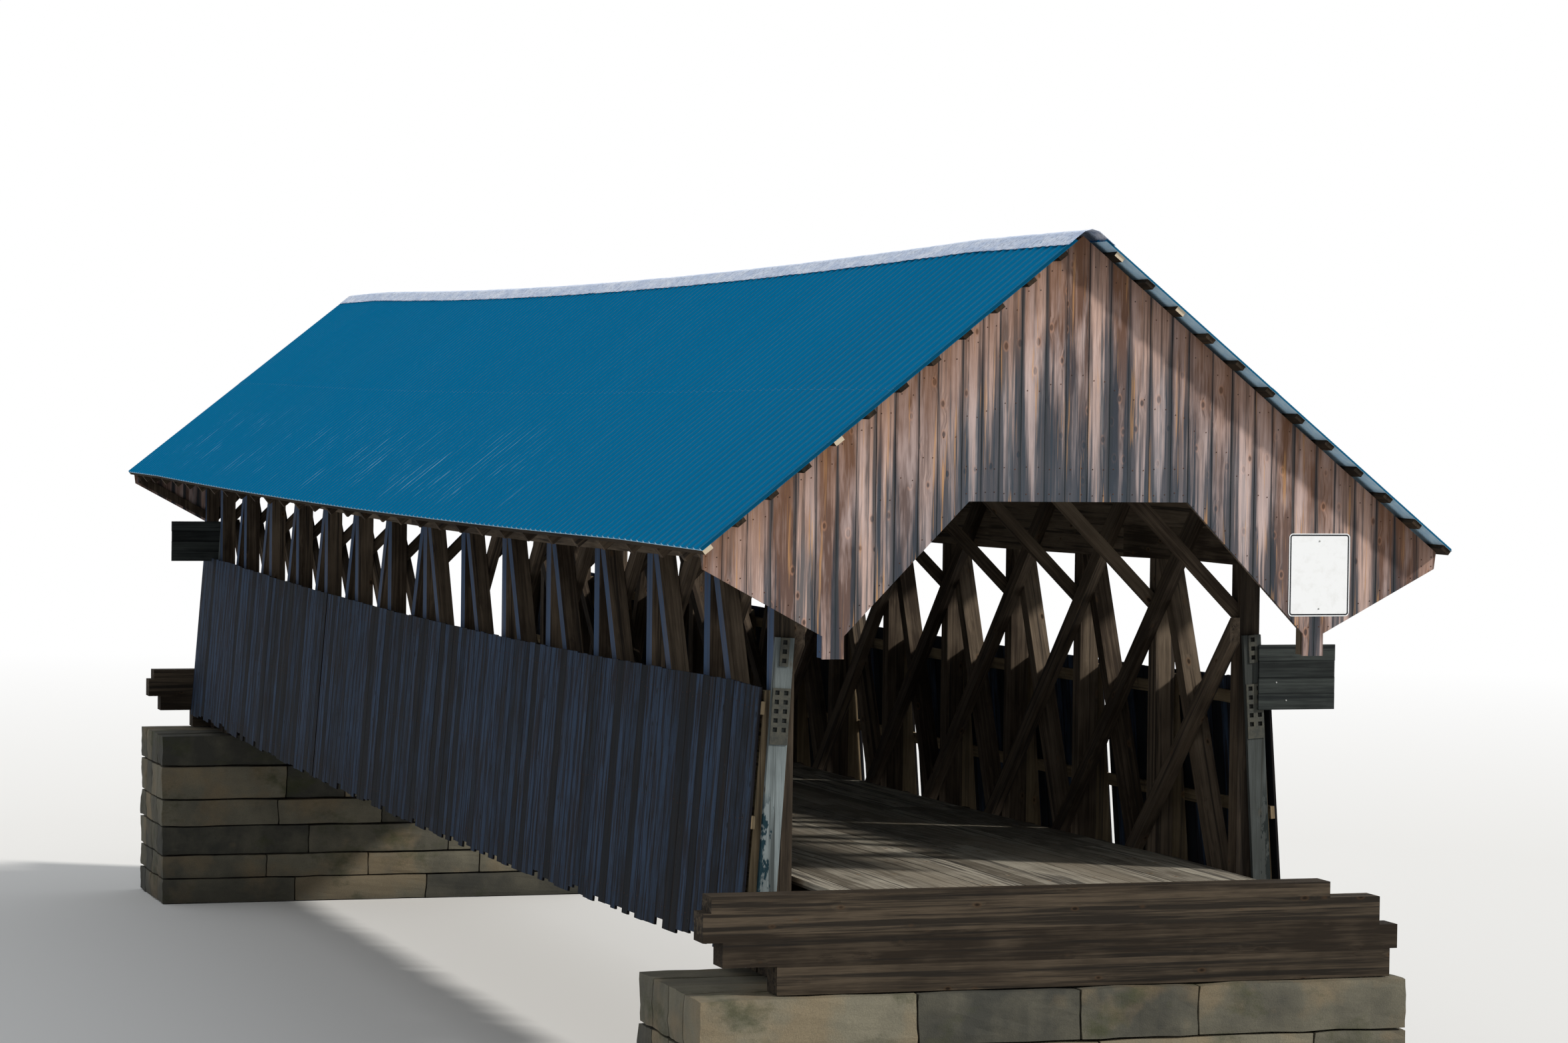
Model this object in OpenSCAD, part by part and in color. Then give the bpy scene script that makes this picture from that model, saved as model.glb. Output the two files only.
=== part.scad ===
// A timber covered bridge for one lane: two trusses of posts, steep braces and long flat
// counterbraces that cross the posts, a low boarded side wall, a ribbed metal roof and
// boarded gables, on two abutments of dry laid stone.
// X runs across the road, Y along it and Z up. Z = 0 is the foot of the abutments.

/* [Truss] */
// Number of panels in each truss, an even number
panel_count = 14; // [8:2:16]
// Length of one panel, post to post
panel_len = 2035; // [1800:5:2200]
// Distance from the centre line of the road to a truss's inner face
truss_in_x = 2225; // [2100:5:2500]
// Width of posts and chords across the road
truss_w = 200; // [160:5:260]
// Width of a post along the road
post_len = 200; // [150:5:260]
// Clear height between the lower and the upper chord
truss_clear = 3180; // [3000:10:3400]
// Depth of the lower chord
low_chord_h = 320; // [250:5:400]
// Depth of each of the upper chord's two timbers, one on the other
top_chord_h = 325; // [250:5:380]
// Length of a main brace's level cuts along the chords
brace_cut = 175; // [120:5:220]
// Distance of a main brace's foot from the post behind it
brace_foot_at = 230; // [150:5:400]
// How much narrower a main brace is than its post, on each side
brace_inset = 8; // [2:1:25]
// Thickness of a counterbrace, which lies on the posts' inner faces
counter_t = 100; // [60:5:110]
// Length of a counterbrace's level cuts along the chords
counter_cut = 250; // [180:5:320]
// Height above the road at which a counterbrace's middle crosses its post
counter_z = 2200; // [2000:10:2250]
// Height above the road at which its middle crosses the next post
counter_low_z = 262; // [200:2:300]
// How far a counterbrace's end stops short of the chord's outer edge
counter_lap = 60; // [20:5:120]
// How far the middle of the old bridge has sunk
sag = 130; // [0:5:200]

/* [Deck] */
// Height of the road above the foot of the abutments
deck_z = 3500; // [3200:10:4200]
// Thickness of the deck planks
plank_t = 75; // [50:5:100]
// How far the deck and the lower chords run past the end posts' centre lines
deck_reach = 890; // [880:5:950]
// Gap between the deck's edge and the counterbraces
deck_gap = 25; // [5:1:60]
// Depth of a floor beam
floor_beam_h = 205; // [150:5:280]
// Width of a floor beam
floor_beam_w = 150; // [100:5:200]
// Distance of a panel's outer floor beam from its outer post
outer_beam_at = 860; // [840:10:1000]
// Distance of a panel's inner floor beam from its inner post
inner_beam_at = 300; // [250:5:450]

/* [Ties] */
// Depth of a tie beam
tie_h = 200; // [150:5:260]
// How much narrower a tie beam is than its post, on each side
tie_inset = 25; // [5:5:40]
// How far a tie beam runs past the truss's outer face
tie_out = 60; // [20:5:70]
// Depth of the wall plate that carries the rafters
plate_h = 120; // [80:5:160]
// Height of a knee brace's foot above the counterbrace that crosses its post
knee_gap = 5; // [2:1:60]
// Depth of a knee brace, square to its run
knee_h = 120; // [80:5:160]
// How much narrower a knee brace is than its post, on each side
knee_inset = 50; // [20:5:60]

/* [Roof] */
// Slope of the roof, in degrees
pitch = 38.7; // [36:0.1:41]
// Half width of the roof over its eaves
eave_x = 3612; // [3500:2:3800]
// How far the roof runs past the gable boards
roof_over = 220; // [120:5:400]
// Depth of a rafter, square to the slope
rafter_h = 140; // [110:5:160]
// Width of a rafter
rafter_w = 100; // [70:5:100]
// How far a rafter's tail stops short of the sheets' edge, along the slope
tail_back = 25; // [0:5:60]
// Thickness of a purlin, square to the slope
purlin_t = 45; // [35:1:60]
// Width of a purlin, along the slope
purlin_w = 95; // [60:5:120]
// Purlins on each slope
purlin_count = 12; // [8:1:14]
// Distance of the first purlin from the ridge, along the slope
purlin_first = 330; // [250:5:450]
// Thickness of a roof sheet, laps and all
sheet_t = 6; // [3:1:8]
// Distance between the ribs of the sheets
rib_pitch = 203.2; // [150:0.1:305]
// Height of a rib
rib_h = 19; // [10:1:25]
// Width of a rib at its foot
rib_foot = 48; // [30:1:70]
// Width of a rib at its top
rib_top = 20; // [10:1:28]
// Gap between the two slopes' sheets and the ridge line, along the slope
ridge_gap = 140; // [110:5:180]
// Distance of the lap between the two courses of sheets from the ridge
lap_at = 2310; // [2000:10:2700]
// Width of one leg of the ridge cap
cap_leg = 230; // [200:5:260]
// Thickness of the ridge cap
cap_t = 3; // [2:0.5:5]

/* [Gables] */
// Distance from the end post's centre line to the outside of the gable boards
portal_reach = 1525; // [1200:5:1700]
// Thickness of the wall boards
board_t = 25; // [18:1:35]
// Half width of the portal opening at its top
open_x = 1060; // [800:10:1300]
// Height of the portal opening above the road
open_z = 3536; // [3400:2:3620]
// Height of the ears' feet above the road
ear_z = 2130; // [2000:10:2300]
// Height of the ears' shoulders above the road
ear_top_z = 2335; // [2250:5:2450]
// Width of an ear
ear_w = 202; // [150:2:260]
// Gap between the gable's edge and the roof's edge, level
gable_back = 52; // [30:2:120]
// Height of the square edge at the gable's lower corners
gable_corner_h = 152; // [100:2:200]
// Depth of the posts that hang behind the ears, along the road
ear_post_t = 140; // [80:5:160]
// Thickness of the nailing boards behind the gable
gable_rail_t = 45; // [30:1:60]
// Width of the nailing boards behind the gable
gable_rail_w = 120; // [80:5:160]

/* [Side walls] */
// Height of the side boards' tops above the road
side_top = 1790; // [1600:10:2000]
// Depth of the side boards' feet below the road
side_foot = 720; // [650:10:900]
// How far the side wall leans out at its foot, in degrees
side_lean = 4.3; // [1:0.1:6]
// Thickness of the wedge stud at its top
stud_t = 60; // [30:5:90]
// Width of a stud along the road
stud_w = 75; // [50:5:150]
// Thickness of the rails that carry the boards
side_rail_t = 40; // [25:1:50]
// Height of a rail
side_rail_h = 120; // [80:5:160]
// Distance of the top and bottom rails' middles from the boards' ends
side_rail_in = 200; // [150:10:400]
// Gap between the far end of a wall and the timbers that close the deck's end
side_far_gap = 20; // [5:5:100]
// How far a wall runs past the near end post
side_near = 95; // [45:5:95]

/* [Portal posts] */
// Height of the jamb boards' tops above the road
jamb_top = 2240; // [2100:10:2300]
// Depth of the jamb boards' feet below the road
jamb_foot = 260; // [0:10:270]
// Distance of a jamb board's inner edge from the road's centre line, at the road
jamb_x = 2376; // [2300:2:2450]
// How far a jamb board leans in at its top, in degrees
jamb_lean = 3.5; // [0:0.1:5]
// Width of a jamb board
jamb_w = 180; // [120:5:200]
// Thickness of a jamb board
jamb_t = 50; // [30:1:70]
// Size of the marker plates' square holes
hole_w = 42; // [20:1:50]
// Spacing of the marker plates' holes
hole_step = 85; // [60:1:100]
// Height of the wide marker plate's foot above the road
marker_low_z = 1255; // [1100:5:1300]
// Height of the narrow marker plate's foot above the road
marker_high_z = 1975; // [1900:5:2100]
// Thickness of the marker plates
marker_t = 12; // [4:1:20]
// Width of the blank board panels
panel_w = 790; // [500:10:900]
// Height of the blank board panels
panel_h = 620; // [400:10:700]
// Height of the near panel's foot above the road
panel_near_z = 1530; // [1400:10:1600]
// Height of the far panel's foot above the road
panel_far_z = 1750; // [1600:10:1760]
// Distance of the panels' inner edges from the road's centre line
panel_x = 2390; // [2300:10:2420]
// Width of the bare plate on the gable
sign_w = 610; // [450:5:760]
// Height of the bare plate on the gable
sign_h = 762; // [600:2:900]
// Distance of the bare plate's inner edge from the road's centre line
sign_x = 2072; // [1600:2:2400]
// Height of the bare plate's foot above the road
sign_z = 2494; // [2400:2:2600]
// Thickness of the bare plate
sign_t = 2; // [1:0.5:5]

/* [Abutments] */
// Half width of an abutment
abut_x = 3450; // [3300:10:3600]
// Distance of an abutment's face from the end post's centre line, towards the stream
abut_front = 740; // [500:10:900]
// Distance of an abutment's back from the end post's centre line
abut_back = 1300; // [1250:10:1500]
// Depth of the bed timbers on an abutment
bed_h = 300; // [200:5:350]
// Width of the bed timbers
bed_w = 300; // [200:5:350]
// Slope of the abutment's face, as a lean-back in degrees
abut_batter = 3; // [0:0.5:6]

/* [End walls] */
// Width of the timbers that close the end of the deck
wall_timber_w = 290; // [200:5:350]
// Gap between the deck's end and these timbers
end_wall_gap = 10; // [2:1:40]
// Height of the first timber, from the road down
timber_1_h = 150; // [100:5:180]
// Height of the second timber
timber_2_h = 265; // [200:5:280]
// Height of the third timber
timber_3_h = 225; // [150:5:280]
// Half length of the first timber
timber_1_x = 3320; // [2800:10:3450]
// Half length of the second timber
timber_2_x = 3395; // [2800:5:3450]
// Half length of the third timber
timber_3_x = 3210; // [2800:10:3450]
// Half length of the last timber, which fills down to the abutment
timber_4_x = 2700; // [2500:10:3450]

/* [Hidden] */

// Clearance between pieces that rest on each other
seat = 0.3;

// Along the road: half the truss, the gable's outside and the roof's end
truss_half = panel_count / 2 * panel_len;
end_wall_y = truss_half + deck_reach + end_wall_gap;
gable_y = truss_half + portal_reach;
roof_end = gable_y + roof_over;
posts_at = [for (i = [0 : panel_count]) (i - panel_count / 2) * panel_len];
half_count = panel_count / 2;

// How far a counterbrace runs along the road for each unit of its fall
counter_run = panel_len / (counter_z - counter_low_z);

// Across the road
truss_out_x = truss_in_x + truss_w;
truss_mid_x = truss_in_x + truss_w / 2;
counter_in_x = truss_in_x - counter_t;
deck_x = counter_in_x - deck_gap;

// Heights above the road, all measured at a bearing
low_chord_top = -plank_t - floor_beam_h;
low_chord_foot = low_chord_top - low_chord_h;
top_chord_foot = low_chord_top + truss_clear;
top_chord_top = top_chord_foot + 2 * top_chord_h;
tie_top = top_chord_top + tie_h;
plate_top = tie_top + plate_h;
abut_top = low_chord_foot - bed_h;

sheet_up = purlin_t + seat;

// The roof's planes: rise is the height over the road of the plane on the rafters' backs
rafter_seat = 74;
rise = plate_top + rafter_h / cos(pitch) + (truss_out_x - rafter_seat) * tan(pitch);
slope_len = (eave_x - (sheet_up + sheet_t) * sin(pitch)) / cos(pitch);

// The sagging line: straight between the middles of the panels, level over the abutments
sag_end = (half_count - 0.5) * panel_len;
bend_y = concat([-roof_end], [for (j = [-half_count + 0.5 : half_count - 0.5]) j * panel_len],
    [roof_end]);
bend_gap = 1;
bend_table = [for (y = bend_y) [y, sag * max(0, 1 - pow(y / sag_end, 2))]];
function drop(y) = lookup(y, bend_table);

// Line points between two places along the road, with every bend that lies between them
function line_y(y0, y1) = concat([y0], [for (y = bend_y) if (y > y0 && y < y1) y], [y1]);

// Lowers what stands at y with the sagging line
module at_y(y) {
    translate([0, y, deck_z - drop(y)]) children();
}

// A polygon drawn in Y and Z and pushed out along X from x0 to x1
module push_x(x0, x1) {
    translate([x0, 0, 0]) rotate([90, 0, 90]) linear_extrude(x1 - x0) children();
}

// A polygon drawn in X and Z and pushed out along Y, centred on y = 0
module push_y(len) {
    translate([0, len / 2, 0]) rotate([90, 0, 0]) linear_extrude(len) children();
}

// A timber that follows the sagging line
module long_timber(x0, x1, z0, z1, y0, y1) {
    ys = line_y(y0, y1);
    n = len(ys) - 1;
    translate([0, 0, deck_z]) push_x(x0, x1)
        polygon(concat([for (y = ys) [y, z0 - drop(y)]],
            [for (i = [n : -1 : 0]) [ys[i], z1 - drop(ys[i])]]));
}

// Both sides of the road
module each_side() {
    children();
    mirror([1, 0, 0]) children();
}

// Both halves of the bridge
module each_half() {
    children();
    mirror([0, 1, 0]) children();
}

// The left side is the right side's mirror image
module on_side(side) {
    if (side > 0) children();
    else mirror([1, 0, 0]) children();
}

// The far end is the near end turned half round, or mirrored
module at_far() {
    mirror([0, 1, 0]) children();
}

// A flat bar in the Y and Z plane between two points, cut to a window
module bar_in_window(p0, p1, depth, w0, w1) {
    run = p1 - p0;
    intersection() {
        translate(p0) rotate(atan2(run[1], run[0]))
            translate([-depth * 4, -depth / 2]) square([norm(run) + depth * 8, depth]);
        translate(w0) square(w1 - w0);
    }
}

module abutment() {
    y0 = truss_half - abut_front;
    y1 = truss_half + abut_back;
    height = deck_z + abut_top;
    color("#77756a") push_x(-abut_x, abut_x)
        polygon([[y0 - height * tan(abut_batter), 0], [y1, 0], [y1, height], [y0, height]]);
}

// Bearing timbers across the abutment's top, under the ends of the chords
module bed_timbers() {
    front = truss_half - abut_front + 120;
    back = truss_half + deck_reach - bed_w - 60;
    for (y = [front, front + bed_w + 60, back])
        color("#5d5348") translate([-truss_out_x, y, deck_z + abut_top + seat])
            cube([2 * truss_out_x, bed_w, bed_h - 2 * seat]);
}

// Four timbers laid on edge that close the end of the deck, with uneven ends
module end_wall() {
    levels = [0, -timber_1_h, -timber_1_h - timber_2_h,
        -timber_1_h - timber_2_h - timber_3_h, abut_top];
    ends = [timber_1_x, timber_2_x, timber_3_x, timber_4_x];
    for (k = [0 : 3])
        color("#4f463c") translate([-ends[k], end_wall_y, deck_z + levels[k + 1] + seat])
            cube([ends[k] + ends[3 - k], wall_timber_w, levels[k] - levels[k + 1] - seat]);
}

module lower_chord() {
    end = truss_half + deck_reach;
    color("#6b5f52") long_timber(truss_in_x, truss_out_x, low_chord_foot + seat,
        low_chord_top, -end, end);
}

module upper_chord() {
    end = gable_y - board_t - ear_post_t - seat;
    for (foot = [top_chord_foot, top_chord_foot + top_chord_h + seat]) color("#6b5f52")
        long_timber(truss_in_x, truss_out_x, foot, foot + top_chord_h - seat, -end, end);
}

module posts() {
    for (y = posts_at) color("#75695b") long_timber(truss_in_x, truss_out_x, low_chord_top + seat,
        top_chord_foot - seat, y - post_len / 2, y + post_len / 2);
}

// Main braces: each runs from the lower chord up to the corner of the next post and the upper
// chord, towards midspan
module braces() {
    z0 = low_chord_top + seat;
    z1 = top_chord_foot - seat;
    each_half() for (i = [0 : half_count - 1]) {
        y0 = posts_at[i] + post_len / 2 + brace_foot_at;
        y1 = posts_at[i + 1] - post_len / 2 - seat;
        pts = [[y0, z0], [y0 + brace_cut, z0], [y1, z1], [y1 - brace_cut, z1]];
        color("#7c7060") translate([0, 0, deck_z])
            push_x(truss_in_x + brace_inset, truss_out_x - brace_inset)
            polygon([for (p = pts) [p[0], p[1] - drop(p[0])]]);
    }
}

// Counterbraces: each lies on the posts' inner faces, and falls towards midspan from the upper
// chord across one post and past the foot of the next to the lower chord. The first starts
// on the end post, and the last stops at the middle of the bridge
module counterbraces() {
    z0 = low_chord_foot + counter_lap;
    z1 = top_chord_top - counter_lap;
    each_half() for (i = [0 : half_count - 1]) {
        head = posts_at[i] + (counter_z - z1) * counter_run;
        foot = posts_at[i] + (counter_z - z0) * counter_run;
        color("#5f5549") translate([0, 0, deck_z]) push_x(counter_in_x, truss_in_x - seat)
            intersection() {
                polygon([[head - counter_cut / 2, z1 - drop(head)],
                    [foot - counter_cut / 2, z0 - drop(foot)],
                    [foot + counter_cut / 2, z0 - drop(foot)],
                    [head + counter_cut / 2, z1 - drop(head)]]);
                translate([posts_at[0] - post_len / 2, z0 - sag])
                    square([truss_half + post_len / 2 - seat, z1 - z0 + sag]);
            }
    }
}

// Two floor beams in each panel, and one at each end of the deck
module floor_beams() {
    inner = [for (i = [0 : panel_count - 1], at = [outer_beam_at, panel_len - inner_beam_at])
        i < half_count ? posts_at[i] + at : posts_at[i + 1] - at];
    last = truss_half + deck_reach - floor_beam_w;
    for (y = concat(inner, [-last, last])) {
        color("#5d5348") long_timber(-truss_out_x, truss_out_x, low_chord_top + seat,
            -plank_t, y - floor_beam_w / 2, y + floor_beam_w / 2);
    }
}

module deck() {
    end = truss_half + deck_reach;
    color("#7d7264") long_timber(-deck_x, deck_x, -plank_t + seat, 0, -end, end);
}

module tie_beams() {
    x1 = truss_out_x + tie_out;
    tie_w = post_len - 2 * tie_inset;
    for (y = posts_at) color("#6b5f52") long_timber(-x1, x1, top_chord_top + seat, tie_top,
        y - tie_w / 2, y + tie_w / 2);
}

// Knee braces at 45 degrees between the posts and the tie beams
module knee_braces() {
    x1 = truss_in_x - seat;
    wide = knee_h * sqrt(2);
    knee_w = post_len - 2 * knee_inset;
    foot = counter_z + (counter_cut + knee_w) / 2 / counter_run + knee_gap;
    for (y = posts_at) {
        top = top_chord_top - seat - abs(drop(y + 1) - drop(y)) * knee_w / 2;
        x0 = x1 - (top - foot);
        at_y(y) color("#7c7060") push_y(knee_w)
            polygon([[x1, foot], [x1, foot + wide], [x0 + wide, top], [x0, top]]);
    }
}

module wall_plate() {
    color("#6b5f52") long_timber(truss_in_x, truss_out_x, tie_top + seat, plate_top,
        -gable_y + board_t + seat, gable_y - board_t - seat);
}

// Measures on the roof's slope: down is taken from the ridge line along the slope, and up
// square to it from the rafters' backs
module on_slope(down0, down1) {
    translate([0, 0, deck_z + rise]) rotate([0, pitch, 0]) push_x(down0, down1) children();
}

// A strip on the slope that follows the sagging line
module slope_strip(down0, down1, up0, up1, y0, y1) {
    ys = line_y(y0, y1);
    n = len(ys) - 1;
    on_slope(down0, down1) polygon(concat(
        [for (y = ys) [y, up0 - drop(y) * cos(pitch)]],
        [for (i = [n : -1 : 0]) [ys[i], up1 - drop(ys[i]) * cos(pitch)]]));
}

// One rafter, cut plumb at the ridge and notched over the wall plate
module rafter(y) {
    y0 = y - rafter_w / 2;
    y1 = y + rafter_w / 2;
    color("#73675a") difference() {
        slope_strip(-150, slope_len - tail_back, -rafter_h, 0, y0, y1);
        translate([-600, y0 - 1, deck_z + rise - 1000])
            cube([600 + seat / 2, rafter_w + 2, 1500]);
        long_timber(truss_in_x, truss_out_x + seat, tie_top, plate_top + seat, y0 - 1, y1 + 1);
    }
}

// Rafters stand over each post and between the posts, and at the gables
module rafters() {
    mids = [for (i = [0 : panel_count - 1]) (posts_at[i] + posts_at[i + 1]) / 2];
    ends = [for (s = [-1, 1]) s * (gable_y - board_t - gable_rail_t - 2 * seat - rafter_w / 2)];
    outer = [for (s = [-1, 1]) s * (truss_half + portal_reach / 2)];
    for (y = concat(posts_at, mids, ends, outer)) rafter(y);
}

purlin_step = (slope_len - purlin_first - purlin_w / 2) / (purlin_count - 1);
module purlins() {
    for (k = [0 : purlin_count - 1]) {
        mid = purlin_first + k * purlin_step;
        color("#8a7a66") slope_strip(mid - purlin_w / 2, mid + purlin_w / 2, seat, purlin_t,
            12 - roof_end, roof_end - 12);
    }
}

// The ribbed sheets of one slope, in two courses that meet at the lap
rib_count = floor((2 * roof_end - rib_foot) / rib_pitch);
function rib_line(up) = [for (k = [0 : rib_count]) let (y = (k - rib_count / 2) * rib_pitch)
    each [[y - rib_foot / 2, up], [y - rib_top / 2, up + rib_h], [y + rib_top / 2, up + rib_h],
        [y + rib_foot / 2, up]]];
module roof_sheets() {
    under = [for (y = line_y(-roof_end, roof_end)) [y, sheet_up - drop(y) * cos(pitch)]];
    top = rib_line(sheet_up + sheet_t);
    over = concat([[-roof_end, sheet_up + sheet_t - drop(roof_end) * cos(pitch)]],
        [for (p = top) [p[0], p[1] - drop(p[0]) * cos(pitch)]],
        [[roof_end, sheet_up + sheet_t - drop(roof_end) * cos(pitch)]]);
    n = len(over) - 1;
    outline = concat(under, [for (i = [n : -1 : 0]) over[i]]);
    color("#00628b") {
        on_slope(ridge_gap, lap_at - 1) polygon(outline);
        on_slope(lap_at + 1, slope_len) polygon(outline);
    }
}

// The ridge cap, in lengths that run from bend to bend
module ridge_cap() {
    up = sheet_up + sheet_t + rib_h + seat;
    for (j = [0 : len(bend_y) - 2]) {
        y0 = bend_y[j] + bend_gap;
        y1 = bend_y[j + 1] - bend_gap;
        color("#c9ccd6") each_side() intersection() {
            slope_strip(-200, cap_leg + drop((y0 + y1) / 2) * sin(pitch), up, up + cap_t, y0, y1);
            translate([0, y0, deck_z + rise - 600]) cube([600, y1 - y0, 1000]);
        }
    }
}

// The boarded gable with the portal's opening, ears and lower corners
gable_x = eave_x - gable_back;
ear_x = truss_mid_x + ear_w / 2;
module gable() {
    edge_z = rise - seat - gable_x * tan(pitch);
    half = [[0, rise - seat], [gable_x, edge_z], [gable_x - 20, edge_z - gable_corner_h],
        [ear_x, ear_top_z], [ear_x, ear_z], [ear_x - ear_w, ear_z],
        [ear_x - ear_w, ear_top_z], [open_x, open_z]];
    color("#8d6a52") translate([0, gable_y - board_t / 2, deck_z]) push_y(board_t) polygon(concat(
        half, [for (i = [len(half) - 1 : -1 : 1]) [-half[i][0], half[i][1]]]));
}

// What the gable boards are nailed to: a hanging post behind each ear, a rail over the
// opening, boards along the opening's slopes and the lower corners
module gable_frame() {
    rail_y = gable_y - board_t - seat - gable_rail_t / 2;
    hang_y = gable_y - board_t - seat - ear_post_t / 2;
    post_x = ear_x - ear_w + 4;
    each_side() {
        color("#6f6254") translate([0, hang_y, deck_z]) push_y(ear_post_t - 2 * seat) polygon([
            [post_x, ear_z + 8], [ear_x - 4, ear_z + 8], [ear_x - 4, tie_top],
            [post_x, tie_top]]);
        color("#6f6254") translate([0, rail_y, deck_z]) push_y(gable_rail_t) bar_in_window(
            [open_x + gable_rail_w * 0.75, open_z], [ear_x - ear_w + gable_rail_w * 0.75, ear_top_z],
            gable_rail_w, [open_x, ear_top_z + 20], [post_x - seat, open_z + gable_rail_w]);
        color("#6f6254") translate([0, rail_y, deck_z]) push_y(gable_rail_t) bar_in_window(
            [ear_x - 4, ear_top_z + gable_rail_w * 0.85],
            [gable_x - 20, rise - seat - gable_x * tan(pitch) - gable_corner_h + gable_rail_w * 0.85],
            gable_rail_w, [ear_x - 4 + seat, ear_top_z],
            [gable_x - 60, rise - gable_x * tan(pitch) - 20]);
    }
    color("#6f6254") translate([0, rail_y, deck_z]) push_y(gable_rail_t)
        translate([-post_x + seat, open_z + gable_rail_w + seat])
            square([2 * (post_x - seat), gable_rail_w]);
}

// One side's wedge studs and rails, in lengths that run from bend to bend
side_h = side_top + side_foot;
stud_down = 40;
wall_y0 = -truss_half - side_near;
wall_y1 = end_wall_y - side_far_gap;
wall_bends = concat([wall_y0], [for (y = bend_y) if (y > wall_y0 && y < wall_y1) y], [wall_y1]);

// A board of the leaning wall between two places along the road: out is measured square to
// the wall from the studs' outer faces, and down along it from the boards' tops
module on_wall(out0, out1, down0, down1, y0, y1) {
    fall = drop((y0 + y1) / 2) * sin(side_lean);
    translate([truss_out_x + stud_t, 0, deck_z + side_top]) rotate([0, -side_lean, 0])
        translate([-fall, 0, 0]) push_x(out0, out1) polygon([
            [y0, -down1 - drop(y0)], [y1, -down1 - drop(y1)],
            [y1, -down0 - drop(y1)], [y0, -down0 - drop(y0)]]);
}

module side_stud() {
    foot = side_h - 60;
    push_y(stud_w) polygon([[truss_out_x + seat, side_top - stud_down],
        [truss_out_x + stud_t - seat + stud_down * tan(side_lean), side_top - stud_down],
        [truss_out_x + stud_t - seat + foot * tan(side_lean), side_top - foot],
        [truss_out_x + seat, side_top - foot]]);
}

module side_frame() {
    for (y = posts_at) at_y(y) color("#8f8577") side_stud();
    for (j = [0 : len(wall_bends) - 2], down = [side_rail_in, side_h / 2, side_h - side_rail_in])
        color("#8f8577") on_wall(0, side_rail_t, down - side_rail_h / 2, down + side_rail_h / 2,
            wall_bends[j] + bend_gap, wall_bends[j + 1] - bend_gap);
}

module siding() {
    for (j = [0 : len(wall_bends) - 2])
        color("#5f6470") on_wall(side_rail_t + seat, side_rail_t + seat + board_t, 0,
            side_h / cos(side_lean), wall_bends[j] + bend_gap, wall_bends[j + 1] - bend_gap);
}

// The jamb boards on the end posts, which lean with the side walls
module on_jamb(y0) {
    translate([jamb_x, y0, deck_z]) rotate([0, -jamb_lean, 0]) children();
}

module jamb() {
    color("#8b8a80") on_jamb(truss_half + post_len / 2 + seat)
        translate([0, 0, -jamb_foot]) cube([jamb_w, jamb_t, jamb_foot + jamb_top]);
}

module jambs() {
    each_side() jamb();
}

// Marker plates with square holes on the jamb boards: a wide one and a narrow one above
module marker(cols, rows, foot_z, margin) {
    plate_w = cols * hole_step;
    on_jamb(truss_half + post_len / 2 + jamb_t + 2 * seat)
        translate([(jamb_w - plate_w) / 2, 0, foot_z]) difference() {
            cube([plate_w, marker_t, rows * hole_step + margin]);
            for (c = [0 : cols - 1], r = [0 : rows - 1])
                translate([(c + 0.5) * hole_step - hole_w / 2, -1,
                    margin + (r + 0.5) * hole_step - hole_w / 2])
                    cube([hole_w, marker_t + 2, hole_w]);
        }
}

module marker_plates() {
    each_side() color("#55554d") {
        marker(2, 5, marker_low_z, 95);
        marker(1, 3, marker_high_z, 10);
    }
}

// A blank panel of weathered boards that stands out from one jamb
module board_panel(foot_z) {
    y0 = truss_half + post_len / 2 + jamb_t + marker_t + 3 * seat;
    color("#4b4f50") translate([panel_x, y0, deck_z + foot_z])
        cube([panel_w, board_t, panel_h]);
}

module sign_plate() {
    color("#f2f2f0") translate([sign_x, -gable_y - sign_t - seat, deck_z + sign_z])
        cube([sign_w, sign_t, sign_h]);
}

at_far() abutment();  // abutment_near
abutment();  // abutment_far
at_far() bed_timbers();  // bed_timbers_near
bed_timbers();  // bed_timbers_far
at_far() end_wall();  // end_wall_near
end_wall();  // end_wall_far
on_side(-1) lower_chord();  // lower_chord_left
on_side(1) lower_chord();  // lower_chord_right
on_side(-1) upper_chord();  // upper_chord_left
on_side(1) upper_chord();  // upper_chord_right
on_side(-1) posts();  // posts_left
on_side(1) posts();  // posts_right
on_side(-1) braces();  // braces_left
on_side(1) braces();  // braces_right
on_side(-1) counterbraces();  // counterbraces_left
on_side(1) counterbraces();  // counterbraces_right
floor_beams();
deck();
tie_beams();
on_side(-1) knee_braces();  // knee_braces_left
on_side(1) knee_braces();  // knee_braces_right
on_side(-1) wall_plate();  // wall_plate_left
on_side(1) wall_plate();  // wall_plate_right
on_side(-1) rafters();  // rafters_left
on_side(1) rafters();  // rafters_right
on_side(-1) purlins();  // purlins_left
on_side(1) purlins();  // purlins_right
on_side(-1) roof_sheets();  // roof_left
on_side(1) roof_sheets();  // roof_right
ridge_cap();
at_far() gable();  // gable_near
gable();  // gable_far
at_far() gable_frame();  // gable_frame_near
gable_frame();  // gable_frame_far
on_side(-1) side_frame();  // side_frame_left
on_side(1) side_frame();  // side_frame_right
on_side(-1) siding();  // siding_left
on_side(1) siding();  // siding_right
at_far() jambs();  // jambs_near
jambs();  // jambs_far
at_far() marker_plates();  // marker_plates_near
marker_plates();  // marker_plates_far
at_far() board_panel(panel_near_z);  // board_panel_near
on_side(-1) board_panel(panel_far_z);  // board_panel_far
sign_plate();
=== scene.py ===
import math
import random

import bmesh
import bpy
import numpy as np
from mathutils import Matrix, Vector, noise


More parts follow.
